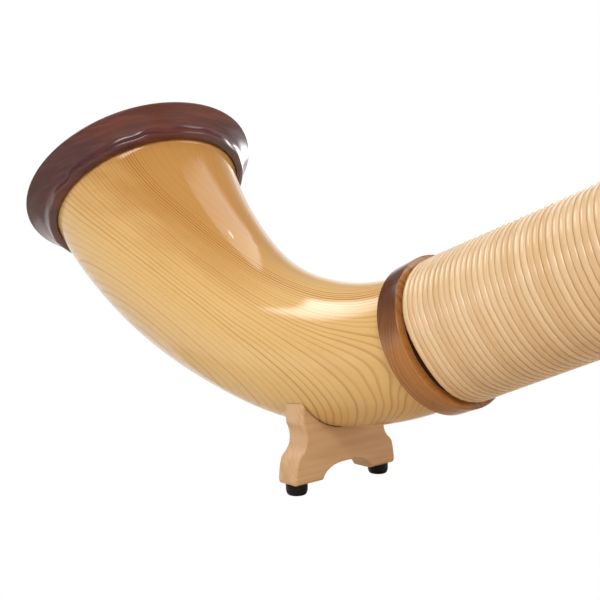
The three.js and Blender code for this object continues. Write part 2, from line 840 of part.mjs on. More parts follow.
const horn = new THREE.Group();
horn.add(bellSection(), ...sealRings(lowerJoint), middleSection(), ...sealRings(upperJoint), handSection());

// Laying the horn down: it turns about Y until the feet and the mouthpiece touch one level line
function worldPoints(...names) {
  const points = [];
  for (const name of names) {
    const mesh = horn.getObjectByName(name);
    const places = mesh.geometry.attributes.position;
    for (let i = 0; i < places.count; i += 1) {
      points.push(mesh.localToWorld(new THREE.Vector3().fromBufferAttribute(places, i)));
    }
  }
  return points;
}

horn.updateMatrixWorld(true);
const feetPoints = worldPoints('rubber_foot_left', 'rubber_foot_right');
const endPoints = worldPoints('mouthpiece', 'hand_section_end_ring', 'mouthpiece_receiver');
let slope = 0;
for (let round = 0; round < 3; round += 1) {
  const height = (point) => point.z * Math.cos(slope) - point.x * Math.sin(slope);
  const low = feetPoints.reduce((a, b) => (height(b) < height(a) ? b : a));
  slope = Math.min(...endPoints.map((point) => Math.atan2(point.z - low.z, point.x - low.x)));
}
horn.rotation.y = slope;

const alphorn = new THREE.Group();
alphorn.add(horn);
alphorn.updateMatrixWorld(true);
const box = new THREE.Box3().setFromObject(horn, true);
horn.position.set(-(box.min.x + box.max.x) / 2, -(box.min.y + box.max.y) / 2, -box.min.z);

export default alphorn;
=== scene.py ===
import json
import math

import bpy
import numpy as np
from mathutils import Matrix, Vector


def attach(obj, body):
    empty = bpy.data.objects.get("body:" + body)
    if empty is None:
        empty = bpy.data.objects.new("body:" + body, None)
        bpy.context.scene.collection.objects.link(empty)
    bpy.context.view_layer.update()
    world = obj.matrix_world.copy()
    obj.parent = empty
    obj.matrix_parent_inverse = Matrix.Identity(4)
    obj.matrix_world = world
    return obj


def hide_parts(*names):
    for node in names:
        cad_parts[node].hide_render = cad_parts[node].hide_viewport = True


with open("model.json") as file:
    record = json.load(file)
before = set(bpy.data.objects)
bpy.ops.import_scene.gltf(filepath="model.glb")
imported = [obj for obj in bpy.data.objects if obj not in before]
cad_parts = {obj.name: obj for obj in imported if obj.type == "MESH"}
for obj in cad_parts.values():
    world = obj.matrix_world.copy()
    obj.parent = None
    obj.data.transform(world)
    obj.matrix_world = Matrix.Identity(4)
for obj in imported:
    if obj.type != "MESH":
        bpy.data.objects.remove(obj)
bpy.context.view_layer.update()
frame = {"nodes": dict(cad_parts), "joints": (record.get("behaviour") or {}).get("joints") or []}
print("the packed horn is in")

# The horn is drawn in its own millimetres: x from the collar along the tube, y to the right, z up from
# the tube. laid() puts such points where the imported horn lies, in metres.
tube = {
    "lowerJoint": 800,  # from the collar
    "upperJoint": 1880,
    "end": 2880,
    "rootRadius": 45.3,  # outside of the wood
    "handRadius": 12.3,
    "taperPower": 1.6,
    "flareShare": 0.24,
    "flarePower": 8,
    "wall": 6,
    "gap": 0.3,  # between pieces that lie on each other
}
tubeJoint = next(joint for joint in frame["joints"] if joint["name"] == "lower_joint_twist")
tubeAxis = np.array(tubeJoint["axis"])
upFromTube = np.array([-tubeAxis[2], 0, tubeAxis[0]])


# The lower joint's place, plus the distance along the tube, to the side and up from the tube
def laid(points):
    x, y, z = points[..., 0:1] - tube["lowerJoint"], points[..., 1:2], points[..., 2:3]
    offset = x * tubeAxis + y * np.array([0, 1, 0]) + z * upFromTube
    return np.array(tubeJoint["pos_m"]) + offset / 1000


# Camera at the photo's angle: low, from the left, turned about its line of sight
camera = {
    "place": (-0.93298, -0.41666, -0.00447),
    "aim": (-0.71470, 0.66035, 0.23051),  # direction of sight
    "roll": -15.58,
    "lens": 49.63,
    "nearest": 0.01,  # m
}


# It looks along aim and is turned about it by roll
def addCamera():
    data = bpy.data.cameras.new("camera")
    data.lens = camera["lens"]
    data.clip_start = camera["nearest"]
    item = bpy.data.objects.new("camera", data)
    turn = Vector(camera["aim"]).to_track_quat("-Z", "Y").to_matrix().to_4x4()
    roll = Matrix.Rotation(math.radians(camera["roll"]), 4, "Z")
    item.matrix_world = Matrix.Translation(camera["place"]) @ turn @ roll
    bpy.context.scene.collection.objects.link(item)
    bpy.context.scene.camera = item


addCamera()


# Surfaces

# Quads between neighbours of a grid of rows x columns, closed in either direction if asked
def gridFaces(rows, columns, closedRound=False, closedAlong=False):
    i = np.arange(rows if closedAlong else rows - 1)
    j = np.arange(columns if closedRound else columns - 1)
    i, j = np.meshgrid(i, j, indexing="ij")
    k, m = (i + 1) % rows, (j + 1) % columns
    quads = [i * columns + j, i * columns + m, k * columns + m, k * columns + j]
    return np.stack(quads, -1).reshape(-1, 4)


# Six times the volume inside the faces: the sum of the triple products of each face's corners
def insideOf(points, faces):
    total = 0
    for rows in faces:
        corners = points[rows]
        for n in range(1, rows.shape[1] - 1):
            total += np.einsum("ij,ij->", corners[:, 0], np.cross(corners[:, n], corners[:, n + 1]))
    return total


# A mesh from points in the horn's millimetres and index arrays, one row a face, turned to face out
def makePiece(name, points, faces, grain=None, sharp=35):
    if insideOf(points - points.mean(0), faces) < 0:
        faces = [rows[:, ::-1] for rows in faces]
    corners = np.concatenate([rows.ravel() for rows in faces])
    lengths = np.concatenate([np.full(len(rows), rows.shape[1]) for rows in faces])
    mesh = bpy.data.meshes.new(name)
    mesh.vertices.add(len(points))
    mesh.vertices.foreach_set("co", laid(points).astype(np.float32).ravel())
    mesh.loops.add(len(corners))
    mesh.loops.foreach_set("vertex_index", corners.astype(np.int32))
    mesh.polygons.add(len(lengths))
    mesh.polygons.foreach_set("loop_start", (np.cumsum(lengths) - lengths).astype(np.int32))
    mesh.update(calc_edges=True)
    mesh.validate()
    mesh.shade_smooth()
    mesh.set_sharp_from_angle(angle=math.radians(sharp))
    if grain is not None:
        values = mesh.attributes.new("grain", "FLOAT_VECTOR", "POINT")
        values.data.foreach_set("vector", grain.astype(np.float32).ravel())
    piece = bpy.data.objects.new(name, mesh)
    bpy.context.scene.collection.objects.link(piece)
    return piece


# The piece gets its material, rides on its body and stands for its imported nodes
def fit(piece, body, slot, *nodes):
    piece.data.materials.append(looks[slot])
    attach(piece, body)
    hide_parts(*nodes)


# The border of a grid, once round
def borderOf(grid):
    return np.concatenate([grid[0, :-1], grid[:-1, -1], grid[-1, :0:-1], grid[:0:-1, 0]])


# A closed body between two grids of points, whose borders are joined by rows of points in between
def wrapSolid(front, back, between=()):
    rows, columns = front.shape[:2]
    border = borderOf(np.arange(rows * columns).reshape(rows, columns))
    start = 2 * rows * columns
    loops = [border]
    for n in range(len(between)):
        loops.append(start + n * len(border) + np.arange(len(border)))
    loops.append(border + rows * columns)
    quads = gridFaces(rows, columns)
    faces = [quads, quads[:, ::-1] + rows * columns]
    for a, b in zip(loops[:-1], loops[1:]):
        faces.append(np.stack([np.roll(a, -1), a, b, np.roll(b, -1)], -1))
    points = [front.reshape(-1, 3), back.reshape(-1, 3), *between]
    return np.concatenate(points), [np.concatenate(faces)]


# A closed (x, radius) outline turned round the tube's axis
def turnedRing(profile, steps):
    angle = np.linspace(0, 2 * np.pi, steps, endpoint=False)
    x, radius = profile[:, :1], profile[:, 1:]
    grid = np.stack([x + 0 * angle, radius * np.sin(angle), radius * np.cos(angle)], -1)
    return grid.reshape(-1, 3), [gridFaces(len(profile), steps, True, True)]


# A smooth line through the given points: each stretch is a cubic whose slopes come from its neighbours
def smoothLine(points, steps=8, reach=1):
    p = np.array(points, float)
    p = np.concatenate([p[:1] + reach * (p[:1] - p[1:2]), p, p[-1:] + reach * (p[-1:] - p[-2:-1])])
    t = np.linspace(0, 1, steps, endpoint=False)[None, :, None]
    a, b, c, d = (p[n:len(p) - 3 + n, None] for n in range(4))
    line = b + (c - a) / 2 * t + (a - 2.5 * b + 2 * c - d / 2) * t**2 + (1.5 * (b - c) + (d - a) / 2) * t**3
    return np.concatenate([line.reshape(-1, p.shape[1]), p[-2:-1]])


# A closed outline with each corner replaced by a curve: a parabola between two points on its sides, which lie
# its radius away, but at most just under half a side
def softCorners(points, radii, steps=6):
    p = np.array(points, float)
    r = np.array(radii, float)[:, None] * np.ones((len(p), 1))
    toBefore, toNext = np.roll(p, 1, 0) - p, np.roll(p, -1, 0) - p
    before = np.linalg.norm(toBefore, axis=1, keepdims=True)
    after = np.linalg.norm(toNext, axis=1, keepdims=True)
    start = p + toBefore / before * np.minimum(r, before * 0.48)
    end = p + toNext / after * np.minimum(r, after * 0.48)
    t = np.linspace(0, 1, steps)[None, :, None]
    line = (1 - t)**2 * start[:, None] + 2 * t * (1 - t) * p[:, None] + t**2 * end[:, None]
    return line.reshape(-1, 2)


# Materials

# sRGB hex to linear: each channel is divided by 12.92 when dark, else raised to the power 2.4
def toLinear(hexColour):
    channels = np.array([int(hexColour[n:n + 2], 16) for n in (1, 3, 5)]) / 255
    linear = np.where(channels <= 0.04045, channels / 12.92, ((channels + 0.055) / 1.055)**2.4)
    return (*linear.tolist(), 1)


# Adds one node. Each value goes to the property or input that its key names: a node or socket is linked
# there, and a hex colour is turned to linear. A linked node gives the first of its outputs in use.
def addNode(tree, kind, values=()):
    node = tree.nodes.new("ShaderNode" + kind)
    for key, value in dict(values).items():
        if isinstance(value, bpy.types.Node):
            value = next(output for output in value.outputs if output.enabled)
        if isinstance(value, bpy.types.NodeSocket):
            tree.links.new(value, node.inputs[key])
        elif isinstance(key, str) and hasattr(node, key):
            setattr(node, key, value)
        elif isinstance(value, str):
            node.inputs[key].default_value = toLinear(value)
        else:
            node.inputs[key].default_value = value
    return node


times = {"operation": "MULTIPLY"}
timesPlus = {"operation": "MULTIPLY_ADD"}
smooth = {"interpolation_type": "SMOOTHSTEP"}  # inputs 1 and 2 are spread to 3 and 4, or to 0 and 1


# An empty material and its node tree
def startMaterial(name):
    material = bpy.data.materials.new(name)
    material.use_nodes = True
    material.node_tree.nodes.clear()
    return material, material.node_tree


# The colour is laid over in layers, each covering what is below it by its own share, and the surface takes it
# with a relief as high as a pattern, by a strength and a depth in metres
def finishMaterial(tree, surface, colour, layers, pattern, relief):
    for share, over in layers:
        colour = addNode(tree, "Mix", {"data_type": "RGBA", 0: share, 6: colour, 7: over})
    bump = addNode(tree, "Bump", {"Strength": relief[0], "Distance": relief[1], "Height": pattern})
    shader = addNode(tree, "BsdfPrincipled", {**surface, "Base Color": colour, "Normal": bump})
    addNode(tree, "OutputMaterial", {"Surface": shader})


# Fine fibres: noise of the place times one scale a direction, small along the grain and large across it
def woodFibres(tree, place, scales, detail=3):
    stretched = addNode(tree, "VectorMath", {**times, 0: place, 1: scales})
    return addNode(tree, "TexNoise", {"Scale": 1, "Detail": detail, "Vector": stretched})


# Patches where such noise is high. Each pattern lists its scales, its detail, the two values between which
# the noise rises smoothly, and the shares of the colour that it gives below and above them.
def woodPatches(tree, place, pattern):
    scales, detail, (low, high), (below, above) = pattern
    noise = woodFibres(tree, place, scales, detail)
    share = addNode(tree, "MapRange", {**smooth, 0: noise, 1: low, 2: high, 3: below, 4: above})
    return share, noise


# Rings of growth. A ring's number is the distance from the tree's heart over the ring width, waved by noise;
# that distance is the length of (place - heart) x trunk, where trunk is the direction of growth. Nearer than
# narrowBelow the rings are narrower, so their numbers run down faster there. The dark late wood lies in the
# late share of each ring's width, darker in some years than in others.
def woodRings(tree, place, wood):
    away = addNode(tree, "VectorMath", {"operation": "SUBTRACT", 0: place, 1: wood["heart"]})
    trunk = Vector(wood["trunk"]).normalized()
    turned = addNode(tree, "VectorMath", {"operation": "CROSS_PRODUCT", 0: away, 1: trunk})
    distance = addNode(tree, "VectorMath", {"operation": "LENGTH", 0: turned})
    waves = woodFibres(tree, place, [1 / size for size in wood["waveSize"]], 2)
    waved = addNode(tree, "Math", {**timesPlus, 0: waves, 1: wood["wave"], 2: distance})
    inside = addNode(tree, "Math", {"operation": "SUBTRACT", 0: waved, 1: wood["narrowBelow"]})
    near = addNode(tree, "Math", {"operation": "MINIMUM", 0: inside, 1: 0})
    wide = addNode(tree, "Math", {"operation": "DIVIDE", 0: waved, 1: wood["ringWidth"]})
    extra = 1 / wood["narrowWidth"] - 1 / wood["ringWidth"]
    counted = addNode(tree, "Math", {**timesPlus, 0: near, 1: extra, 2: wide})
    slow = {"noise_dimensions": "1D", "Scale": 0.31, "Detail": 2, "W": counted}  # over about three rings
    drift = addNode(tree, "TexNoise", slow)
    number = addNode(tree, "Math", {**timesPlus, 0: drift, 1: wood["uneven"], 2: counted})
    share = addNode(tree, "Math", {"operation": "FRACT", 0: number})
    whole = addNode(tree, "Math", {"operation": "FLOOR", 0: number})
    year = addNode(tree, "TexWhiteNoise", {"noise_dimensions": "1D", "W": whole})
    rise = addNode(tree, "MapRange", {**smooth, 0: share, 1: wood["late"][0], 2: wood["late"][1]})
    dark = addNode(tree, "MapRange", {**smooth, 0: year, 3: wood["years"][0], 4: wood["years"][1]})
    return addNode(tree, "Math", {**times, 0: rise, 1: dark}), share, waved


spruce = {
    "light": "#E1BB7C",
    "deep": "#BA894B",
    "line": "#995B22",
    "heart": (0, 0, 0),  # the grain attribute already counts from the heart
    "trunk": (1, 0, 0),
    "ringWidth": 2.6,  # mm
    "narrowWidth": 2.1,
    "narrowBelow": 224,
    "wave": 3.0,
    "waveSize": (170, 42, 42),
    "uneven": 0.9,
    "late": (0.55, 0.9),  # share of a ring where its line grows dark
    "lateEnd": 0.93,
    "years": (0.25, 0.85),  # palest and darkest line
    "lines": 0.54,
    "darkYears": ((199, 9, 2.6), (248.6, 3.4, 1.9)),  # mm from the heart, mm on each side, how much darker
    "paleFrom": 262,  # mm from the heart
    "deepFrom": 198,
    "cloud": 40,  # mm by which noise moves that change of tone
    "evenBelow": (70, 280),  # mm from the collar: the deep tone fades towards it
    "evenTone": 0.3,
    "clouds": (1 / 150, 1 / 24, 1 / 24),
    "streaks": ((1 / 35, 1 / 0.45, 1 / 0.45), 3, (0.35, 0.75), (0, 0.14)),
    "relief": (0.25, 0.00005),
    "surface": {
        "Roughness": 0.42, "Specular IOR Level": 0,
        "Coat Weight": 1, "Coat Roughness": 0.045, "Coat IOR": 1.42,
    },
}


# Spruce under clear gloss lacquer: thin hard late wood lines in pale honey wood, deeper in colour towards
# the heart, seen through a smooth coat. Wood and lacquer bend light alike, so only the coat shines.
def makeLacqueredSpruce():
    material, tree = startMaterial("lacqueredSpruce")
    place = addNode(tree, "Attribute", {"attribute_name": "grain"}).outputs["Vector"]
    late, share, distance = woodRings(tree, place, spruce)
    fall = addNode(tree, "MapRange", {**smooth, 0: share, 1: spruce["lateEnd"], 2: 1, 3: 1, 4: 0})
    late = addNode(tree, "Math", {**times, 0: late, 1: fall})
    for middle, reach, darker in spruce["darkYears"]:
        away = addNode(tree, "Math", {"operation": "SUBTRACT", 0: distance, 1: middle})
        away = addNode(tree, "Math", {"operation": "ABSOLUTE", 0: away})
        more = addNode(tree, "MapRange", {**smooth, 0: away, 2: reach, 3: darker, 4: 1})
        late = addNode(tree, "Math", {**times, 0: late, 1: more})
    lines = addNode(tree, "Math", {**times, 0: late, 1: spruce["lines"]})
    broad = woodFibres(tree, place, spruce["clouds"], 2)
    cloud = spruce["cloud"]
    moved = addNode(tree, "Math", {**timesPlus, 0: broad, 1: cloud, 2: distance})
    pale, deep = spruce["paleFrom"] + cloud / 2, spruce["deepFrom"] + cloud / 2
    tone = addNode(tree, "MapRange", {**smooth, 0: moved, 1: pale, 2: deep})
    along = addNode(tree, "SeparateXYZ", {0: place}).outputs[0]
    low, high = spruce["evenBelow"]
    even = addNode(tree, "MapRange", {**smooth, 0: along, 1: low, 2: high, 3: spruce["evenTone"], 4: 1})
    tone = addNode(tree, "Math", {**times, 0: tone, 1: even})
    streaks, fibres = woodPatches(tree, place, spruce["streaks"])
    layers = [(tone, spruce["deep"]), (streaks, spruce["line"]), (lines, spruce["line"])]
    finishMaterial(tree, spruce["surface"], spruce["light"], layers, fibres, spruce["relief"])
    return material


rosewood = {
    "light": "#6C372D",
    "dark": "#3D1F1E",
    "plum": "#553236",
    "clouds": ((16, 7, 30), 2, (0.4, 0.62), (0, 1)),  # scales in 1 m
    "streaks": ((60, 14, 420), 4, (0.35, 0.7), (0.55, 0)),
    "pores": (400, 60, 1800),
    "relief": (0.12, 0.00004),
    "surface": {"Roughness": 0.32, "Specular IOR Level": 0, "Coat Weight": 1, "Coat Roughness": 0.13},
}


# Rosewood, turned and polished: red brown with soft plum streaks along the board, under a glossy finish
def makePolishedRosewood():
    material, tree = startMaterial("polishedRosewood")
    place = addNode(tree, "TexCoord").outputs["Object"]
    light = woodPatches(tree, place, rosewood["clouds"])[0]
    dark = woodPatches(tree, place, rosewood["streaks"])[0]
    layers = [(light, rosewood["light"]), (dark, rosewood["dark"])]
    pores = woodFibres(tree, place, rosewood["pores"], 2)
    finishMaterial(tree, rosewood["surface"], rosewood["plum"], layers, pores, rosewood["relief"])
    return material


walnut = {
    "light": "#AC713A",
    "dark": "#5E3820",
    # the plum is painted shade, laid over the ring towards its top and less on its end face
    "plum": "#3E2223",
    "topShadeFrom": (62, 102),  # mm above the floor
    "topShadeShare": 0.85,
    "topShadeOnFace": 0.15,
    "cloud": 36,  # mm by which noise moves the plum's edge
    # painted shade: near black on the lip, in the gap between the collar and the first turn
    "shade": "#2B150E",
    "heart": (0, 60, -90),  # mm
    "trunk": (0.35, 1, 0.25),
    "ringWidth": 2.6,
    "narrowWidth": 1.8,
    "narrowBelow": 90,
    "wave": 9,
    "waveSize": (50, 60, 30),
    "uneven": 2.5,
    "late": (0.3, 0.95),
    "years": (0.1, 0.6),
    "clouds": (1 / 70, 1 / 60, 1 / 34),
    "streaks": ((1 / 0.5, 1 / 12, 1 / 0.7), 3, (0.45, 0.8), (0, 0.4)),
    "relief": (0.2, 0.00005),
    "surface": {"Roughness": 0.36, "Specular IOR Level": 0, "Coat Weight": 1, "Coat Roughness": 0.09},
}


# Walnut, turned and lacquered: warm brown with soft darker lines, and plum painted high up as shade on the
# ring's top. Two parts of the grain attribute mark a ring's end face, where that painted shade is weak, and
# the lip under the first turn, which is painted nearly black as the shade in the gap between collar and
# winding.
def makeLacqueredWalnut():
    material, tree = startMaterial("lacqueredWalnut")
    metres = addNode(tree, "TexCoord").outputs["Object"]
    place = addNode(tree, "VectorMath", {"operation": "SCALE", 0: metres, "Scale": 1000})
    grain = addNode(tree, "Attribute", {"attribute_name": "grain"}).outputs["Vector"]
    # endFace weakens the painted top shade; lip marks the painted shade under the first turn
    endFace, lip = list(addNode(tree, "SeparateXYZ", {0: grain}).outputs)[1:]
    late = woodRings(tree, place, walnut)[0]
    broad = woodFibres(tree, place, walnut["clouds"], 2)
    cloud = walnut["cloud"]
    height = addNode(tree, "SeparateXYZ", {0: place}).outputs[2]
    height = addNode(tree, "Math", {**timesPlus, 0: broad, 1: cloud, 2: height})
    low, high = (edge + cloud / 2 for edge in walnut["topShadeFrom"])
    # painted shade: plum laid over the ring towards its top, by height above the floor
    plum = addNode(tree, "MapRange", {**smooth, 0: height, 1: low, 2: high, 4: walnut["topShadeShare"]})
    onBand = addNode(tree, "MapRange", {**smooth, 0: endFace, 3: 1, 4: walnut["topShadeOnFace"]})
    plum = addNode(tree, "Math", {**times, 0: plum, 1: onBand})
    streaks, fibres = woodPatches(tree, place, walnut["streaks"])
    # the last layer is the painted shade on the lip under the first turn
    layers = [
        (plum, walnut["plum"]), (late, walnut["dark"]), (streaks, walnut["dark"]), (lip, walnut["shade"]),
    ]
    finishMaterial(tree, walnut["surface"], walnut["light"], layers, fibres, walnut["relief"])
    return material


maple = {
    "light": "#D2AC80",
    "dark": "#B98A60",
    "heart": (0, 60, 130),  # mm: along the piece, up, through it
    "trunk": (1, -0.06, 0.03),
    "ringWidth": 4.4,
    "narrowWidth": 4.0,
    "narrowBelow": 90,
    "wave": 5,
    "waveSize": (90, 40, 40),
    "uneven": 2.0,
    "late": (0.3, 1),
    "years": (0.15, 0.6),
    "lines": 0.6,
    "bands": ((1 / 90, 1 / 14, 1 / 14), 2, (0.35, 0.75), (0, 0.6)),
    "streaks": ((1 / 16, 1 / 0.5, 1 / 0.5), 3, (0.48, 0.8), (0, 0.35)),
    "relief": (0.35, 0.00008),
    "surface": {"Roughness": 0.46, "Coat Weight": 0.3, "Coat Roughness": 0.28, "IOR": 1.5},
}


# Maple, sawn, sanded and oiled: even pinkish wood with faint wide bands and short fine fibres
def makeOiledMaple():
    material, tree = startMaterial("oiledMaple")
    place = addNode(tree, "Attribute", {"attribute_name": "grain"}).outputs["Vector"]
    late = woodRings(tree, place, maple)[0]
    lines = addNode(tree, "Math", {**times, 0: late, 1: maple["lines"]})
    bands = woodPatches(tree, place, maple["bands"])[0]
    streaks, fibres = woodPatches(tree, place, maple["streaks"])
    layers = [(share, maple["dark"]) for share in (bands, lines, streaks)]
    finishMaterial(tree, maple["surface"], maple["light"], layers, fibres, maple["relief"])
    return material


cane = {
    "light": "#DFC097",
    "deep": "#CBA26F",
    # painted shade in the grooves between the turns
    "edge": "#C29967",
    "pitch": 4.06,  # mm from turn to turn
    "width": 3.94,
    "height": 3.1,
    "grooveShadeFrom": (0.85, 0.66),  # shares of the height, from the crown down
    "patches": ((1 / 140, 1 / 6, 1 / 6), 2, (0.3, 0.72), (0, 0.6)),
    "threads": ((1 / 60, 1 / 0.28, 1 / 0.28), 3, (0.5, 0.85), (0, 0.5)),
    "relief": (0.5, 0.00007),
    "surface": {"Roughness": 0.42, "Specular IOR Level": 0.2, "Coat Weight": 1, "Coat Roughness": 0.09},
}


# Split cane under satin lacquer: pale straw with fine threads along the strip, painted shade in its grooves
def makeLacqueredCane():
    material, tree = startMaterial("lacqueredCane")
    place = addNode(tree, "Attribute", {"attribute_name": "grain"}).outputs["Vector"]
    height = addNode(tree, "SeparateXYZ", {0: place}).outputs[2]
    top, bottom = (cane["height"] * share for share in cane["grooveShadeFrom"])
    # painted shade: the strip darkens below its crown, where the grooves between turns lie in shadow
    edge = addNode(tree, "MapRange", {**smooth, 0: height, 1: top, 2: bottom})
    patches = woodPatches(tree, place, cane["patches"])[0]
    threads, fibres = woodPatches(tree, place, cane["threads"])
    layers = [(patches, cane["deep"]), (threads, cane["deep"]), (edge, cane["edge"])]
    finishMaterial(tree, cane["surface"], cane["light"], layers, fibres, cane["relief"])
    return material


# Metals, rubber and the dowels' beech: one colour moved a little by noise of the size of the tool marks,
# smoother than the surface's roughness where it is low and rougher where it is high
def makeWorkedMaterial(name, surface, light, dark, scales, strength):
    material, tree = startMaterial(name)
    place = addNode(tree, "TexCoord").outputs["Object"]
    share, marks = woodPatches(tree, place, (scales, 3, (0.3, 0.7), (0, 1)))
    polished, dull = surface["Roughness"] * 0.8, surface["Roughness"] * 1.2
    rough = addNode(tree, "MapRange", {**smooth, 0: marks, 1: 0.2, 2: 0.8, 3: polished, 4: dull})
    surface = {**surface, "Roughness": rough}
    finishMaterial(tree, surface, light, [(share, dark)], marks, (strength, 0.00005))
    return material


looks = {
    "spruce": makeLacqueredSpruce(),
    "rosewood": makePolishedRosewood(),
    "walnut": makeLacqueredWalnut(),
    "maple": makeOiledMaple(),
    "cane": makeLacqueredCane(),
    # brass turned on a lathe: fine rings round the tube, a yellow sheen
    "brass": makeWorkedMaterial(
        "turnedBrass", {"Metallic": 1, "Roughness": 0.24}, "#E3C27A", "#CDA558", (2500, 30, 30), 0.25
    ),
    # zinc plated steel: even grey with a slight mottle
    "steel": makeWorkedMaterial(
        "zincPlatedSteel", {"Metallic": 1, "Roughness": 0.34}, "#C4C6C8", "#A3A6AA", (400, 400, 400), 0.15
    ),
    # moulded rubber: near black, satin, with a fine tooth
    "rubber": makeWorkedMaterial(
        "mouldedRubber", {"Roughness": 0.5, "Specular IOR Level": 0.3}, "#100F0F", "#080808",
        (1500, 1500, 1500), 0.5,
    ),
    # beech rod, cut and left plain: short fibres along the dowel
    "beech": makeWorkedMaterial(
        "plainBeech", {"Roughness": 0.6, "IOR": 1.5}, "#D9B88C", "#C49C6C", (900, 900, 60), 0.4
    ),
}
print("materials are made")


# The bell: its centreline is a cubic curve, and its radius a smooth line through five stations
bell = {
    "reach": 283.4,
    "rise": 221.6,
    "bendAngle": 75.3,
    "startHandle": 171.5,
    "endHandle": 60,
    "neckRadius": 87.2,
    "wall": 6,
    "flareShares": (0, 0.181, 0.339, 0.661, 1),
    "underCollar": 8.25,
    "inRim": 7.7,
    "linePoints": 2001,
    "outlineSteps": 60,  # from one station to the next
    "stations": 150,
    "steps": 64,
    "seam": 0.0003,  # radians to each half's edge
    "heart": ((51.3, -168.6), (103, 18.3), (-23.8, -2.8)),  # mm at the collar, mm per 100 mm, and its bend
}
bend = math.radians(bell["bendAngle"])
neck = np.array([-bell["reach"], bell["rise"]])
neckDirection = np.array([-math.cos(bend), math.sin(bend)])
handles = np.array([[0, 0], [-bell["startHandle"], 0], neck - bell["endHandle"] * neckDirection, neck])
curveShare = np.linspace(0, 1, bell["linePoints"])[:, None]
bellLine = (
    (1 - curveShare)**3 * handles[0]
    + 3 * (1 - curveShare)**2 * curveShare * handles[1]
    + 3 * (1 - curveShare) * curveShare**2 * handles[2]
    + curveShare**3 * handles[3]
)
bellAlong = np.concatenate([[0], np.cumsum(np.linalg.norm(np.diff(bellLine, axis=0), axis=1))])
bellLength = bellAlong[-1]


# Centre, direction and inward direction at each distance from the collar, all in the plane of the bend
def bellFrame(distance):
    inside = np.clip(distance, 0, bellLength)
    centre = np.stack([np.interp(inside, bellAlong, bellLine[:, n]) for n in (0, 1)], -1)
    slopes = np.gradient(bellLine, bellAlong, axis=0)
    forward = np.stack([np.interp(inside, bellAlong, slopes[:, n]) for n in (0, 1)], -1)
    forward /= np.linalg.norm(forward, axis=-1, keepdims=True)
    centre = centre + forward * (distance - inside)[..., None]
    return centre, forward, np.stack([forward[..., 1], -forward[..., 0]], -1)


bellStations = [
    (bellLength * n / 4, tube["rootRadius"] + (bell["neckRadius"] - tube["rootRadius"]) * share)
    for n, share in enumerate(bell["flareShares"])
]
bellOutline = smoothLine(bellStations, bell["outlineSteps"], 0)


# Place in the tree: distance along, then inward and sideways from the tree's heart, which runs beside the
# bell on a bent line (start + slope x distance + bend x distance squared)
def fromHeart(distance, inward, sideways):
    start, slope, curve = np.array(bell["heart"])
    part = np.asarray(distance)[..., None] / 100
    heart = start + slope * part + curve * part**2
    return np.stack([distance + 0 * inward, inward - heart[..., 0], np.abs(sideways) - heart[..., 1]], -1)


# Points round the bell's centreline: centre plus radius times the cosine inward and the sine sideways.
# The grain of both halves is the same, mirrored.
def roundBell(distance, radius, angle):
    centre, forward, inward = bellFrame(distance)
    across = radius[:, None] * np.cos(angle)
    side = radius[:, None] * np.sin(angle)
    x = centre[:, None, 0] + inward[:, None, 0] * across
    z = centre[:, None, 1] + inward[:, None, 1] * across
    return np.stack([x, side, z], -1), fromHeart(distance[:, None], across, side)


# Two shells of even thickness, from under the collar ring into the rim ring
def makeBell():
    distance = np.linspace(-bell["underCollar"], bellLength + bell["inRim"], bell["stations"])
    radius = np.interp(distance, bellOutline[:, 0], bellOutline[:, 1])
    for side, name in ((-1, "left"), (1, "right")):
        angle = side * np.linspace(bell["seam"], np.pi - bell["seam"], bell["steps"])
        outside, outsideGrain = roundBell(distance, radius, angle)
        inside, insideGrain = roundBell(distance, radius - bell["wall"], angle)
        points, faces = wrapSolid(outside, inside)
        grain = np.concatenate([outsideGrain.reshape(-1, 3), insideGrain.reshape(-1, 3)])
        piece = makePiece(f"bell_{name}_half_carved", points, faces, grain)
        fit(piece, "bell_section", "spruce", f"bell_{name}_half")


makeBell()
print("the bell is carved")


# The rim ring: a bead beside the wood, a flared band, a soft edge and an open mouth
rim = {
    "back": 89.3,  # radius of the thin back edge
    "seat": 87.6,
    "seatDepth": (1.3, 8),
    "mouthBore": 81.2,
    "groove": [(1.2, -1.6), (0.25, -0.9), (0, 0.4)],  # beside the wood
    "bead": [(0.15, 2.8), (1.1, 5.3), (2.9, 6.75), (4.9, 7.15), (6.9, 7.2), (9.2, 8.0)],
    "band": [(12.6, 10.9), (16.6, 14.4), (20.2, 17.9)],
    "edge": [(22.3, 20.2), (23.3, 20.45), (24.4, 19.75)],
    "front": [(26.4, 17.4), (27.5, 14.6), (27.2, 12.0)],
    "mouth": [(25.3, 9.7), (20.6, 1.2), (14.2, -5.2), (8.6, -7.9)],
    "steps": 180,
    "handwork": 0.65,  # mm that the bead's crest rises and falls
    "handworkWaves": (10, 17, 23),  # round the ring
    "handworkShift": 2.4,  # radians from each wave to the next
    "crest": (4.5, 3),  # mm to the bead's crest, and its spread
}


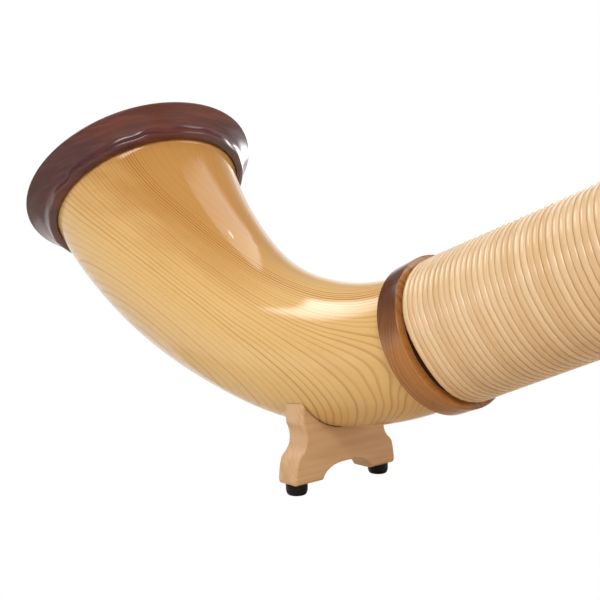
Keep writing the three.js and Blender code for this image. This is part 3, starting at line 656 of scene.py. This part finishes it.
# The outline goes round the end of the bell's centreline. The bead's crest lies lower by the handwork times
# (1 - waves) times exp(-(distance from the crest / spread)^2), where waves is half the sum of three sines.
def makeRimRing():
    outside = rim["groove"] + rim["bead"] + rim["band"]
    outline = smoothLine(outside + rim["edge"] + rim["front"] + rim["mouth"], 6)
    outline[:, 1] += rim["back"]
    near, far = rim["seatDepth"]
    profile = np.concatenate([outline, [(far, rim["mouthBore"]), (far, rim["seat"]), (near, rim["seat"])]])
    angle = np.linspace(0, 2 * np.pi, rim["steps"], endpoint=False)
    shift = rim["handworkShift"]
    waves = sum(np.sin(count * angle + shift * n) for n, count in enumerate(rim["handworkWaves"])) / 2
    crest, reach = rim["crest"]
    onBead = np.exp(-((profile[:, 0] - crest) / reach)**2) * (profile[:, 1] > rim["back"] + 1)
    points = roundBell(bellLength + profile[:, 0], profile[:, 1], angle)[0]
    outward = points - points.mean(1, keepdims=True)
    outward /= np.linalg.norm(outward, axis=-1, keepdims=True)
    points = points + outward * (rim["handwork"] * onBead[:, None] * (waves - 1))[..., None]
    faces = [gridFaces(len(profile), rim["steps"], True, True)]
    piece = makePiece("bell_rim_ring_turned", points.reshape(-1, 3), faces)
    fit(piece, "bell_section", "rosewood", "bell_rim_ring")


makeRimRing()


# Radius of the tube's wood: it shrinks by a power of the distance left, with a flare beside the bell
def woodRadius(x):
    left = np.clip(1 - x / tube["end"], 0, 1)
    flare = tube["flareShare"]
    taper = (1 - flare) * left**tube["taperPower"] + flare * left**tube["flarePower"]
    return tube["handRadius"] + (tube["rootRadius"] - tube["handRadius"]) * taper


rings = {
    "collarWidth": 16.8,
    "collarRadius": 51.2,
    "collarRounding": 0.9,
    # the lip carries painted shade: it is painted near black as the gap under the first turn
    "collarShadeLip": 4,  # a thin edge that runs on under the first turn
    "lipDepths": (0.06, 0.22),  # mm to its top and underside, from where the winding lies
    "lipRounding": 0.05,
    "endLength": 24,
    "proud": 2.4,  # above the winding
    "endRounding": 2.2,
    "innerRounding": 0.4,
    "endFace": 0.35,  # mm of its width that count as the end face
    # where the lip's painted shade starts
    "lipShadeFrom": 0.02,  # mm past the band
    "steps": 112,
}
joints = (tube["lowerJoint"], tube["upperJoint"])
gap, halfGap, endLength = tube["gap"], tube["gap"] / 2, rings["endLength"]


# A band with rounded outer corners, lying on the wood from low to high, and with a lip if one is given. Its
# grain attribute marks the end face, where the painted top shade is weak, and the lip, painted as shade.
def makeRing(name, low, high, outer, rounding, body, lip=0):
    inner = woodRadius(np.array([low, high])) + gap
    corners = [(low, inner[0]), (low, outer), (high, outer), (high, inner[1])]
    radii = [rings["innerRounding"], rounding, rounding, rings["innerRounding"]]
    if lip:
        ends = ((high, inner[1]), (high + lip, woodRadius(high + lip) + gap))
        top, under = ([(x, radius - depth) for x, radius in ends] for depth in rings["lipDepths"])
        corners[3:] = top + under[::-1]
        radii[3:] = [rings["lipRounding"]] * 4
    profile = softCorners(corners, radii, 8)
    points, faces = turnedRing(profile, rings["steps"])
    x = profile[:, 0]
    marks = np.stack([0 * x, x > high - rings["endFace"], x > high + rings["lipShadeFrom"]], -1)
    piece = makePiece(f"{name}_turned", points, faces, np.repeat(marks, rings["steps"], 0))
    fit(piece, body, "walnut", name)


# Outer radius of an end ring: the winding's there and a little more
def ringOver(x):
    return woodRadius(x) + gap + cane["height"] + rings["proud"]


collarShape = (0, rings["collarWidth"], rings["collarRadius"], rings["collarRounding"])
makeRing("collar_ring", *collarShape, "bell_section", rings["collarShadeLip"])
for name, low, high, body in (
    ("bell_section_end_ring", joints[0] - endLength, joints[0] - halfGap, "bell_section"),
    ("middle_section_lower_ring", joints[0] + halfGap, joints[0] + endLength, "middle_section"),
    ("middle_section_upper_ring", joints[1] - endLength, joints[1] - halfGap, "middle_section"),
    ("hand_section_lower_ring", joints[1] + halfGap, joints[1] + endLength, "hand_section"),
    ("hand_section_end_ring", tube["end"] - endLength, tube["end"], "hand_section"),
):
    makeRing(name, low, high, ringOver(low), rings["endRounding"], body)
print("the rings are turned")


# The winding is one strip that goes round and round the wood and moves along by one pitch a turn, so a
# wedge of a gap opens beside the first turn. Its section is flat below and crowned above.
winding = {
    "section": [(-1.94, 0), (-2.0, 2.2), (-1.85, 2.65), (-1.15, 2.97), (0, 3.1)],  # one half of it
    "middle": 1.5,  # height in the strip about which it leans
    "sharp": 65,  # degrees
    "startAngle": -70,  # degrees from the top, positive to the left
    "crescent": {"angle": 114, "reach": 46, "room": 2.7, "turns": 26},
    "unevenEvery": 0.35,  # turns
    "unevenAlong": 0.045,  # mm
    "unevenHeight": 0.04,
    "lean": 1.6,  # degrees
}


# Room between the collar and the first turns on the lower left: most at one angle, by the cosine squared of
# the angle away from it, and less with each later turn
def crescentRoom(turn):
    crescent = winding["crescent"]
    away = (winding["startAngle"] + 360 * turn - crescent["angle"] + 180) % 360 - 180
    share = np.cos(np.radians(np.clip(away / crescent["reach"], -1, 1) * 90))**2
    return crescent["room"] * share * np.clip(1 - turn / crescent["turns"], 0, 1)


# Random numbers at even steps, with straight lines between them, move the strip along, sink it and lean it.
# Only the winding beside the collar makes room for the crescent.
# Its section leans about its middle, is set on the wood and turned once a pitch. Its grain counts the length
# wound so far, the place across the strip and the height in it.
def makeWinding(section, low, high, stepsPerTurn, seed, *nodes):
    room = high - low - cane["width"]
    turns = round(room / cane["pitch"])
    steps = turns * stepsPerTurn
    turn = np.arange(steps + 1) / stepsPerTurn
    random = np.random.default_rng(seed)
    knots = np.arange(0, turns + 2, winding["unevenEvery"])
    shift, lift, lean = (np.interp(turn, knots, random.uniform(-1, 1, len(knots))) for n in range(3))
    along = low + cane["width"] / 2 + room / turns * turn + winding["unevenAlong"] * shift
    along = along + crescentRoom(turn) * (low < tube["lowerJoint"] / 2)
    radius = woodRadius(along) + gap + winding["unevenHeight"] * (lift - 1)
    angle = math.radians(winding["startAngle"]) + 2 * np.pi * turn
    half, middle = np.array(winding["section"]), winding["middle"]
    side, height = np.concatenate([half, half[-2::-1] * (-1, 1)]).T
    slope = np.radians(winding["lean"]) * lean[:, None]
    across = side * np.cos(slope) - (height - middle) * np.sin(slope)
    up = (height - middle) * np.cos(slope) + side * np.sin(slope) + middle
    reach, angle = radius[:, None] + up, angle[:, None]
    points = np.stack([along[:, None] + across, -reach * np.sin(angle), reach * np.cos(angle)], -1)
    length = np.cumsum(radius + middle)[:, None] * 2 * np.pi / stepsPerTurn
    grain = np.stack([part + 0 * across for part in (length, side, height)], -1)
    sides = len(side)
    ends = np.arange(sides)[None, ::-1]
    faces = [gridFaces(steps + 1, sides, True), ends, ends[:, ::-1] + steps * sides]
    name = f"cane_winding_{section}"
    piece = makePiece(f"{name}_wound", points.reshape(-1, 3), faces, grain.reshape(-1, 3), winding["sharp"])
    fit(piece, section, "cane", *nodes, name)


# Each section's winding: from and to in mm, steps a turn and a seed for its random numbers
for section, low, high, stepsPerTurn, seed, *nodes in (
    ("bell_section", rings["collarWidth"], joints[0] - endLength, 46, 3, "cane_winding_at_collar"),
    ("middle_section", joints[0] + endLength, joints[1] - endLength, 36, 5),
    ("hand_section", joints[1] + endLength, tube["end"] - endLength, 32, 7),
):
    makeWinding(section, low + gap, high - gap, stepsPerTurn, seed, *nodes)
print("the cane is wound")


# Brass sleeves in the joints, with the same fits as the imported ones
joint = {
    "tenonLength": 50,
    "tenonRoot": 30,
    "tenonWall": 2.2,
    "runningFit": 0.35,
    "socketWall": 1.6,
    "grooveDepth": 1.5,
    "grooveWidth": 2.6,
    "grooves": (12, 32),  # from the tenon's tip
    "sealThickness": 1.35,
    "sealWidth": 2,
    "socketRounding": (0.4,) * 4,
    "tenonRounding": (0.3, 0.8, *(0.2,) * 8, 0.3, 0.3),
    "sealRounding": (0.6,) * 4,
    "steps": 96,
}


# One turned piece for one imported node: the outline through the corners, rounded by the radii, turned round
def addTurned(node, corners, radii, steps, body, slot):
    made = "moulded" if slot == "rubber" else "turned"
    piece = makePiece(f"{node}_{made}", *turnedRing(softCorners(corners, radii, steps), joint["steps"]))
    fit(piece, body, slot, node)


# A socket sleeve up to the joint at x, and in it the tenon sleeve, whose grooves hold two seals. It gives the
# radii of the seats that the tubes need for both sleeves.
def makeJoint(which, x, outerBody, sealBody, innerBody):
    bore = woodRadius(x) - tube["wall"]
    tenon = bore + joint["tenonWall"]
    socket = tenon + joint["runningFit"]
    outside = socket + joint["socketWall"]
    tip, low = x - joint["tenonLength"], x - joint["tenonLength"] - gap
    corners = [(low, socket), (low, outside), (x - halfGap, outside), (x - halfGap, socket)]
    addTurned(f"{which}_joint_socket", corners, joint["socketRounding"], 4, outerBody, "brass")
    floor = tenon - joint["grooveDepth"]
    corners = [(tip, bore), (tip, tenon)]
    for start in joint["grooves"]:
        near, far = tip + start, tip + start + joint["grooveWidth"]
        corners += [(near, tenon), (near, floor), (far, floor), (far, tenon)]
    corners += [(x + joint["tenonRoot"], tenon), (x + joint["tenonRoot"], bore)]
    addTurned(f"{which}_joint_tenon", corners, joint["tenonRounding"], 4, innerBody, "brass")
    for name, start in zip(("front", "back"), joint["grooves"]):
        middle = tip + start + joint["grooveWidth"] / 2
        near, far = middle - joint["sealWidth"] / 2, middle + joint["sealWidth"] / 2
        inner, outer = floor + gap, floor + gap + joint["sealThickness"]
        corners = [(near, inner), (near, outer), (far, outer), (far, inner)]
        addTurned(f"{which}_joint_{name}_seal", corners, joint["sealRounding"], 5, sealBody, "rubber")
    return {"socketSeat": outside + gap, "tenonSeat": tenon + gap}


lowerSeats = makeJoint("lower", joints[0], "bell_section", "lower_joint_seals", "middle_section")
upperSeats = makeJoint("upper", joints[1], "middle_section", "upper_joint_seals", "hand_section")


# The mouthpiece and the sleeve that holds it. Its outline is given in mm from the start of the neck and in
# radius.
mouthpiece = {
    "start": 2882.6,  # from the collar
    "neck": [(0.2, 7.3), (1, 7.4), (10.5, 7.4)],
    "bead": [(12, 7.7), (13.6, 10), (15.5, 10.5), (17.4, 10)],
    "cup": [
        (19, 7.7), (25.5, 9.5), (33.5, 14.9), (40, 17.6), (44.5, 18.45), (47.6, 17.6), (48.9, 14.5),
        (48.2, 10.9), (46, 8.4), (41, 6.9), (35, 4.6), (29, 2.75),
    ],
    "boreEnd": (25, 2.75),
    "shankLength": 40,
    "tipBore": 3.9,
    "tipRadius": 5.4,
    "shankRadius": 6.6,
    "steps": 96,
}
receiver = {
    "wall": 1.6,
    "flangeRadius": 12,
    "flangeThickness": 2,
    "rounding": (0.2, 0.3, 0.2, 0.5, 0.7, 0.4),
}


# Smooth lines for neck, bead and cup, and straight ones for bore and shank, turned round. It gives the
# radius of the seat that the tube needs for the receiver.
def makeMouthpiece():
    tipRadius, shankRadius = mouthpiece["tipRadius"], mouthpiece["shankRadius"]
    lines = [smoothLine(mouthpiece[part], steps) for part, steps in (("neck", 3), ("bead", 6), ("cup", 6))]
    tip = -mouthpiece["shankLength"]
    shank = [mouthpiece["boreEnd"], (tip, mouthpiece["tipBore"]), (tip, tipRadius), (0, shankRadius)]
    profile = np.concatenate([*lines, shank]) + (mouthpiece["start"], 0)
    points, faces = turnedRing(profile, mouthpiece["steps"])
    piece = makePiece("mouthpiece_turned", points, faces, points)
    fit(piece, "mouthpiece", "maple", "mouthpiece")
    end, flange = tube["end"] + gap, receiver["flangeRadius"]
    face, deep = end + receiver["flangeThickness"], tube["end"] - mouthpiece["shankLength"]
    outside = shankRadius + gap + receiver["wall"]
    corners = [
        (deep, tipRadius + gap), (deep, outside), (end, outside), (end, flange), (face, flange),
        (face, shankRadius + gap),
    ]
    addTurned("mouthpiece_receiver", corners, receiver["rounding"], 5, "hand_section", "brass")
    return outside + gap


receiverSeat = makeMouthpiece()

tubeHalves = {
    "alongPoints": 60,
    "aroundPoints": 40,
    "seam": 0.001,  # radians to each half's edge
    "step": 0.01,  # mm along which a seat widens
    "straighter": 20,  # times less bent than the grain in the bell
}


# Both halves of a tube section: the outside follows the wood, the inside the bore and the wider seats, which
# are given as (depth, radius)
def makeTubeHalves(section, low, high, lowSeat, highSeat):
    count, step, seam = tubeHalves["alongPoints"], tubeHalves["step"], tubeHalves["seam"]
    x = np.linspace(low, high, count)
    insideX = np.concatenate([[low], np.linspace(low + lowSeat[0], high - highSeat[0], count - 2), [high]])
    if not lowSeat[0]:
        insideX[1] = insideX[:3].mean()
    inner = woodRadius(insideX) - tube["wall"]
    if lowSeat[0]:
        insideX[1], inner[:2] = insideX[1] - step, lowSeat[1]
    if highSeat[0]:
        insideX[-2], inner[-2:] = insideX[-2] + step, highSeat[1]
    for side, name in ((-1, "left"), (1, "right")):
        angle = side * np.linspace(seam, np.pi - seam, tubeHalves["aroundPoints"])
        grids, grains = [], []
        for place, radius in ((x, woodRadius(x)), (insideX, inner)):
            y, z = radius[:, None] * np.sin(angle), radius[:, None] * np.cos(angle)
            grids.append(np.stack([place[:, None] + 0 * y, y, z], -1))
            along = -place[:, None] / tubeHalves["straighter"]
            grains.append(fromHeart(along, z, y).reshape(-1, 3))
        node = f"{section}_tube_{name}_half"
        piece = makePiece(f"{node}_hollowed", *wrapSolid(*grids), np.concatenate(grains))
        fit(piece, section, "spruce", node)


socketDepth, tenonDepth = joint["tenonLength"] + gap, joint["tenonRoot"] + gap
makeTubeHalves(
    "bell_section", bell["underCollar"] + gap, joints[0] - halfGap,
    (0, 0), (socketDepth, lowerSeats["socketSeat"]),
)
makeTubeHalves(
    "middle_section", joints[0] + halfGap, joints[1] - halfGap,
    (tenonDepth, lowerSeats["tenonSeat"]), (socketDepth, upperSeats["socketSeat"]),
)
makeTubeHalves(
    "hand_section", joints[1] + halfGap, tube["end"],
    (tenonDepth, upperSeats["tenonSeat"]), (mouthpiece["shankLength"] + gap, receiverSeat),
)
print("the tube, its joints and the mouthpiece are made")


# The foot under the bell, drawn upright about its own middle and turned with the playing angle
foot = {
    "along": 93.8,
    "playingAngle": 20.23,
    "thickness": 19.2,
    "standHeight": 34.7,
    "side": [  # height, half width
        (0, 50.7), (7.5, 50.2), (14.6, 48.9), (18.4, 47.4), (23.2, 42.6), (27.5, 40.3),
        (33, 39.9), (38, 41.0), (41.5, 42.6), (45, 42.8), (60, 42.4),
    ],
    "archHalfWidth": 23.5,
    "archHeight": 9.8,
    "archPowers": (2.6, 0.625),
    "cornerRounding": 2.2,
    "edgeRounding": 2.2,
    "edgePoints": 7,
    "acrossPoints": 97,
    "crowded": 0.35,  # how much closer the points lie at the sides
    "upPoints": 44,
    "saddleFrom": 30,  # mm below the bell's underside, where the search for the saddle starts
    "saddleTo": -5,  # mm from the bell's axis, where it ends
    "saddleInset": 0.04,  # share of the inset at the saddle
    "halvings": 22,
}
footCentre = bellFrame(np.array([foot["along"]]))[0][0]
playing = math.radians(foot["playingAngle"])
underside = -np.interp(foot["along"], bellOutline[:, 0], bellOutline[:, 1])
soleHeight = underside - foot["standHeight"]


# A foot point (forward, sideways, up) turned by the playing angle and moved to the bell's axis
def footPlace(points):
    x, y, z = points[..., 0], points[..., 1], points[..., 2]
    forward = math.cos(playing) * x + math.sin(playing) * z + footCentre[0]
    up = -math.sin(playing) * x + math.cos(playing) * z + footCentre[1]
    return np.stack([forward, y, up], -1)


# Height at which the board meets the bell: halving a range until the point lies on the bell's surface
def saddleHeight(x, y):
    low, high = underside - foot["saddleFrom"] + 0 * y, foot["saddleTo"] + 0 * y
    line, along = bellLine[::20], bellAlong[::20]
    for n in range(foot["halvings"]):
        middle = (low + high) / 2
        place = footPlace(np.stack([x + 0 * y, y, middle], -1))
        offset = place[..., None, [0, 2]] - line
        nearest = np.linalg.norm(offset, axis=-1)
        distance = np.hypot(nearest.min(-1), y)
        surface = np.interp(along[nearest.argmin(-1)], bellOutline[:, 0], bellOutline[:, 1]) + gap
        outside = distance > surface
        low, high = np.where(outside, middle, low), np.where(outside, high, middle)
    return (low + high) / 2


# One layer of the board at a depth x, drawn in by inset: below it the sole and an arch, whose height is the
# arch's times (1 - (reach across)^2.6)^0.625; ogee sides through the listed points; on top the saddle. The
# share across is p and the share up is q, and the ogee is left out towards the middle by the cube of p.
def boardLayer(x, inset):
    side = smoothLine(foot["side"], 8)
    p = np.linspace(-1, 1, foot["acrossPoints"])
    p = np.sin(p * np.pi / 2) * foot["crowded"] + p * (1 - foot["crowded"])
    q = np.linspace(0, 1, foot["upPoints"])[:, None]
    halfSole = side[0, 1] - inset
    y = p * halfSole
    corner = np.clip((np.abs(y) - halfSole + foot["cornerRounding"]) / foot["cornerRounding"], 0, 1)
    low = inset + foot["cornerRounding"] * (1 - np.sqrt(1 - corner**2))
    archHalf = foot["archHalfWidth"] + inset
    reach = np.clip(np.abs(y) / archHalf, 0, 1)
    acrossPower, upPower = foot["archPowers"]
    arch = (foot["archHeight"] + inset) * (1 - reach**acrossPower)**upPower
    low = np.maximum(low, arch)
    topHalf = side[-1, 1] - inset
    high = saddleHeight(x, p * topHalf) - soleHeight - foot["saddleInset"] * inset
    height = low + q * (high - low)
    halfWidth = np.interp(height, side[:, 0], side[:, 1]) - inset
    edge = np.abs(p)**3
    width = halfWidth * edge + (halfSole + (topHalf - halfSole) * q) * (1 - edge)
    return np.stack([x + 0 * height, p * width, height + soleHeight], -1)


# Layers from front to back, drawn in along a quarter circle at both faces and joined round their borders
def makeFootBoard():
    rounding, half = foot["edgeRounding"], foot["thickness"] / 2
    turn = np.linspace(0, np.pi / 2, foot["edgePoints"])
    depths = half - rounding + rounding * np.sin(turn)
    insets = rounding * (1 - np.cos(turn))
    layers = [boardLayer(x, inset) for x, inset in zip(depths[::-1], insets[::-1])]
    layers += [boardLayer(-x, inset) for x, inset in zip(depths, insets)]
    points, faces = wrapSolid(layers[0], layers[-1], [borderOf(layer) for layer in layers[1:-1]])
    piece = makePiece("foot_board_sawn", footPlace(points), faces, points[:, [1, 2, 0]])
    fit(piece, "bell_section", "maple", "foot_board")


makeFootBoard()

rubber = {
    "inset": 9.4,  # from the board's side
    "height": 7.9,
    "top": 7.8,  # radius
    "sole": 6.2,
    "soleEdge": 0.2,
    "bulge": (7.7, 2.6),  # radius, height
    "hole": 2.3,
    "recess": 3.6,
    "recessDepth": 5.2,
    "rounding": (0.1, 0.1, 0.3, 0.4, 1.1, 1.5, 0.5),
    "steps": 64,
}
screw = {
    "headRadius": 3.2,
    "headHeight": 2.2,
    "headDepth": 3,
    "headPoints": 12,
    "edge": 0.1,
    "corner": [(-0.1, 0.55), (0, 1.0)],  # from the head's side and its lowest point
    "dome": 0.35,
    "shank": 1.9,
    "point": 2,
    "pole": 0.02,
    "length": 22,
    "slotWidth": 0.8,
    "slotDepth": 1.2,
    "slotReach": 2.1,
    "slotWalls": 1.6,  # half widths from the middle
    "steps": 64,
}


# A closed (radius, height) outline turned about the foot's upright
def turnedUpright(profile, steps, middle):
    angle = np.linspace(0, 2 * np.pi, steps, endpoint=False)
    radius, height = profile[:, :1], profile[:, 1:]
    grid = np.stack([radius * np.cos(angle), middle + radius * np.sin(angle), height + 0 * angle], -1)
    return footPlace(grid).reshape(-1, 3), [gridFaces(len(profile), steps, True, True)]


# The screw: a domed head, a shank and a point; both poles are closed with small round faces. The crossed
# recess lifts the head's points by the nearness to either arm, where arms is the distance to the nearer one.
def makeScrew(name, middle, rubberSole):
    base, side = rubberSole + screw["headDepth"], screw["headRadius"]
    shank, edge = screw["shank"], screw["edge"]
    head, tip = base + screw["headHeight"] - gap, base + screw["length"] - gap
    radius = np.concatenate([[screw["pole"]], np.linspace(0.15, side - 0.5, screw["headPoints"])])
    bottom = np.stack([radius, base + screw["dome"] * (radius / side)**2], -1)
    corner = np.array(screw["corner"]) + (side, base)
    rest = [
        (side, head - edge), (side - edge, head), (shank, head), (shank, tip - screw["point"]),
        (screw["pole"], tip),
    ]
    profile = np.concatenate([bottom, corner, rest])
    count, steps = len(profile), screw["steps"]
    angle = np.linspace(0, 2 * np.pi, steps, endpoint=False)
    x, y = profile[:, :1] * np.cos(angle), profile[:, :1] * np.sin(angle)
    arms = np.minimum(np.abs(x), np.abs(y)) / (screw["slotWidth"] / 2)
    inHead = (np.arange(count) < len(bottom))[:, None] * (np.hypot(x, y) < screw["slotReach"])
    depth = screw["slotDepth"] * inHead * np.clip(screw["slotWalls"] - arms, 0, 1)
    grid = np.stack([x, middle + y, profile[:, 1:] + depth], -1)
    ends = np.arange(steps)[None, ::-1]
    faces = [gridFaces(count, steps, True), ends, ends[:, ::-1] + (count - 1) * steps]
    piece = makePiece(f"{name}_driven", footPlace(grid).reshape(-1, 3), faces)
    fit(piece, "bell_section", "steel", name)


# Each foot's outline has a hole for the shank and a recess for the head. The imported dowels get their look.
def makeRubberFeet():
    rubberSole = soleHeight - gap - rubber["height"]
    for side, name in ((-1, "left"), (1, "right")):
        middle = side * (foot["side"][0][1] - rubber["inset"])
        corners = [
            (rubber["hole"], rubber["height"]), (rubber["hole"], rubber["recessDepth"]),
            (rubber["recess"], rubber["recessDepth"]), (rubber["recess"], 0),
            (rubber["sole"] + rubber["soleEdge"], 0), rubber["bulge"], (rubber["top"], rubber["height"]),
        ]
        profile = softCorners(corners, rubber["rounding"], 6)
        profile[:, 1] += rubberSole
        piece = makePiece(f"rubber_foot_{name}_moulded", *turnedUpright(profile, rubber["steps"], middle))
        fit(piece, "bell_section", "rubber", f"rubber_foot_{name}")
        makeScrew(f"foot_screw_{name}", middle, rubberSole)
        dowel = frame["nodes"][f"foot_dowel_{name}"]
        dowel.data.materials.clear()
        dowel.data.materials.append(looks["beech"])


makeRubberFeet()
print("the foot stands")


# Stage: a pale floor that fades out into a white surrounding and shows from above only, with wide soft
# boxes overhead and at both sides
stage = {
    "floor": "#D8CDBB",
    "half": 8,  # m from the middle to each side
    "fade": (2.6, 3.4),  # m from the middle
    "surround": 0.42,
    "ceiling": 0.2,
    "ceilingSide": (0.26, -0.24, 1),  # the ceiling comes lower on the camera's side
    "ceilingFrom": (0.1, 0.42),
}
lamps = {
    "overBell": {
        "place": (-0.88, 0.93, 1.75), "aim": (-0.88, 0.93, 0), "size": (1.5, 1.35), "brightness": 2.0,
        "soft": (0.08, 0.4, 0.12, 0.3),
    },
    "overBellBulb": {
        "place": (-1.09, 0.58, 1.72), "aim": (-1.43, 0, 0.2), "size": (0.1, 0.1), "brightness": 10,
        "soft": (0.4,) * 4,
    },
    "overBellLeft": {
        "place": (-2.23, -0.4, 1.75), "aim": (-2.23, -0.4, 0), "size": (0.66, 1.25), "brightness": 7,
        "soft": (0.75, 0.14, 0.35, 0.25),
    },
    "overTube": {
        "place": (-0.4, -0.2, 1.9), "aim": (-0.4, -0.2, 0), "size": (3.4, 0.8), "brightness": 1.1,
        "glossy": False,
    },
    "leftWall": {
        "place": (-0.9, -3.0, 1.2), "aim": (-0.9, 0, 0.1), "size": (6.5, 2.6), "brightness": 0.65,
        "glossy": False,
    },
    "rightWall": {
        "place": (0, 3.2, 1.4), "aim": (0, 0, 0.1), "size": (6.5, 2.6), "brightness": 0.7,
        "glossy": False,
    },
    "frontWall": {
        "place": (1.0, -1.2, 1.0), "aim": (-1.4, 0, 0.1), "size": (1.8, 1.2), "brightness": 1.8,
        "glossy": False,
    },
    "backPanel": {
        "place": (-2.0, 1.95, 0.8), "aim": (-1.47, 0.05, 0.32), "size": (1.2, 1.1), "brightness": 7.5,
        "soft": (0.3,) * 4,
    },
    "cameraStrip": {
        "place": (0.0, -1.2, 0.75), "aim": (-1.47, 0, 0.33), "size": (1.4, 0.6), "brightness": 9,
        "soft": (0.3,) * 4,
    },
    "farStrip": {
        "place": (-0.1, 0.9, 0.62), "aim": (-1.47, 0, 0.33), "size": (1.0, 0.6), "brightness": 3,
        "soft": (0.3,) * 4,
    },
}


# One square. Its paint gives way to clear by the distance from the middle, and on its underside.
def makeStage():
    half, (near, far) = stage["half"], stage["fade"]
    mesh = bpy.data.meshes.new("floor")
    corners = [(-half, -half, 0), (half, -half, 0), (half, half, 0), (-half, half, 0)]
    mesh.from_pydata(corners, [], [(0, 1, 2, 3)])
    floor = bpy.data.objects.new("floor", mesh)
    bpy.context.scene.collection.objects.link(floor)
    material, tree = startMaterial("paleFloor")
    paint = addNode(tree, "BsdfPrincipled", {"Base Color": stage["floor"], "Roughness": 0.9})
    clear = addNode(tree, "BsdfTransparent")
    place = addNode(tree, "TexCoord").outputs["Object"]
    reach = addNode(tree, "VectorMath", {"operation": "LENGTH", 0: place})
    edge = addNode(tree, "MapRange", {**smooth, 0: reach, 1: near, 2: far})
    below = addNode(tree, "NewGeometry").outputs["Backfacing"]
    hidden = addNode(tree, "Math", {"operation": "MAXIMUM", 0: edge, 1: below})
    mixed = addNode(tree, "MixShader", {0: hidden, 1: paint, 2: clear})
    addNode(tree, "OutputMaterial", {"Surface": mixed})
    mesh.materials.append(material)


# White to the camera, to gloss and to glass, but darker overhead in gloss and glass, like a studio's ceiling,
# by the direction's part towards ceilingSide; an even pale grey to everything else
def lightWorld():
    world = bpy.data.worlds.new("surround")
    bpy.context.scene.world = world
    world.use_nodes = True
    tree = world.node_tree
    tree.nodes.clear()
    path = addNode(tree, "LightPath").outputs
    direction = addNode(tree, "TexCoord").outputs["Generated"]
    upward = addNode(tree, "VectorMath", {"operation": "DOT_PRODUCT", 0: direction, 1: stage["ceilingSide"]})
    low, high = stage["ceilingFrom"]
    ceiling = addNode(tree, "MapRange", {**smooth, 0: upward, 1: low, 2: high, 3: 1, 4: stage["ceiling"]})
    glossy, glass = path["Is Glossy Ray"], path["Is Transmission Ray"]
    mirrored = addNode(tree, "Math", {"operation": "MAXIMUM", 0: glossy, 1: glass})
    plain = addNode(tree, "Background", {"Color": (1, 1, 1, 1), "Strength": stage["surround"]})
    shown = addNode(tree, "Background", {"Color": (1, 1, 1, 1), "Strength": ceiling})
    mixed = addNode(tree, "MixShader", {0: mirrored, 1: plain, 2: shown})
    seen = addNode(tree, "Background", {"Color": (1, 1, 1, 1), "Strength": 1})
    whole = addNode(tree, "MixShader", {0: path["Is Camera Ray"], 1: mixed, 2: seen})
    addNode(tree, "OutputWorld", {"Surface": whole})


# A softbox is dimmer at its edges: brightness times a smooth rise over the given share of each side
def softenLamp(data, soft):
    data.use_nodes = True
    tree = data.node_tree
    tree.nodes.clear()
    place = addNode(tree, "NewGeometry").outputs["Parametric"]
    across, along = list(addNode(tree, "SeparateXYZ", {0: place}).outputs)[:2]
    share = 1
    for part, low, high in ((across, soft[0], soft[1]), (along, soft[2], soft[3])):
        rise = addNode(tree, "MapRange", {**smooth, 0: part, 2: low})
        fall = addNode(tree, "MapRange", {**smooth, 0: part, 1: 1 - high, 2: 1, 3: 1, 4: 0})
        both = addNode(tree, "Math", {**times, 0: rise, 1: fall})
        share = addNode(tree, "Math", {**times, 0: both, 1: share})
    emission = addNode(tree, "Emission", {"Strength": share})
    addNode(tree, "OutputLight", {"Surface": emission})


# A lamp's power is its brightness times pi times its area. It faces its aim, with its first side as near to
# the horn's length as that allows.
def addLamps():
    for name, lamp in lamps.items():
        data = bpy.data.lights.new(name, "AREA")
        data.shape = "RECTANGLE"
        data.size, data.size_y = lamp["size"]
        data.energy = lamp["brightness"] * math.pi * data.size * data.size_y
        if "soft" in lamp:
            softenLamp(data, lamp["soft"])
        item = bpy.data.objects.new(name, data)
        back = (Vector(lamp["place"]) - Vector(lamp["aim"])).normalized()
        across = (Vector((1, 0, 0)) - back.x * back).normalized()
        turn = Matrix((across, back.cross(across), back)).transposed().to_4x4()
        item.matrix_world = Matrix.Translation(lamp["place"]) @ turn
        item.visible_camera = False
        item.visible_glossy = lamp.get("glossy", True)
        bpy.context.scene.collection.objects.link(item)


makeStage()
lightWorld()
addLamps()
bpy.context.scene.view_settings.view_transform = "Standard"

print("the horn is on its stage")
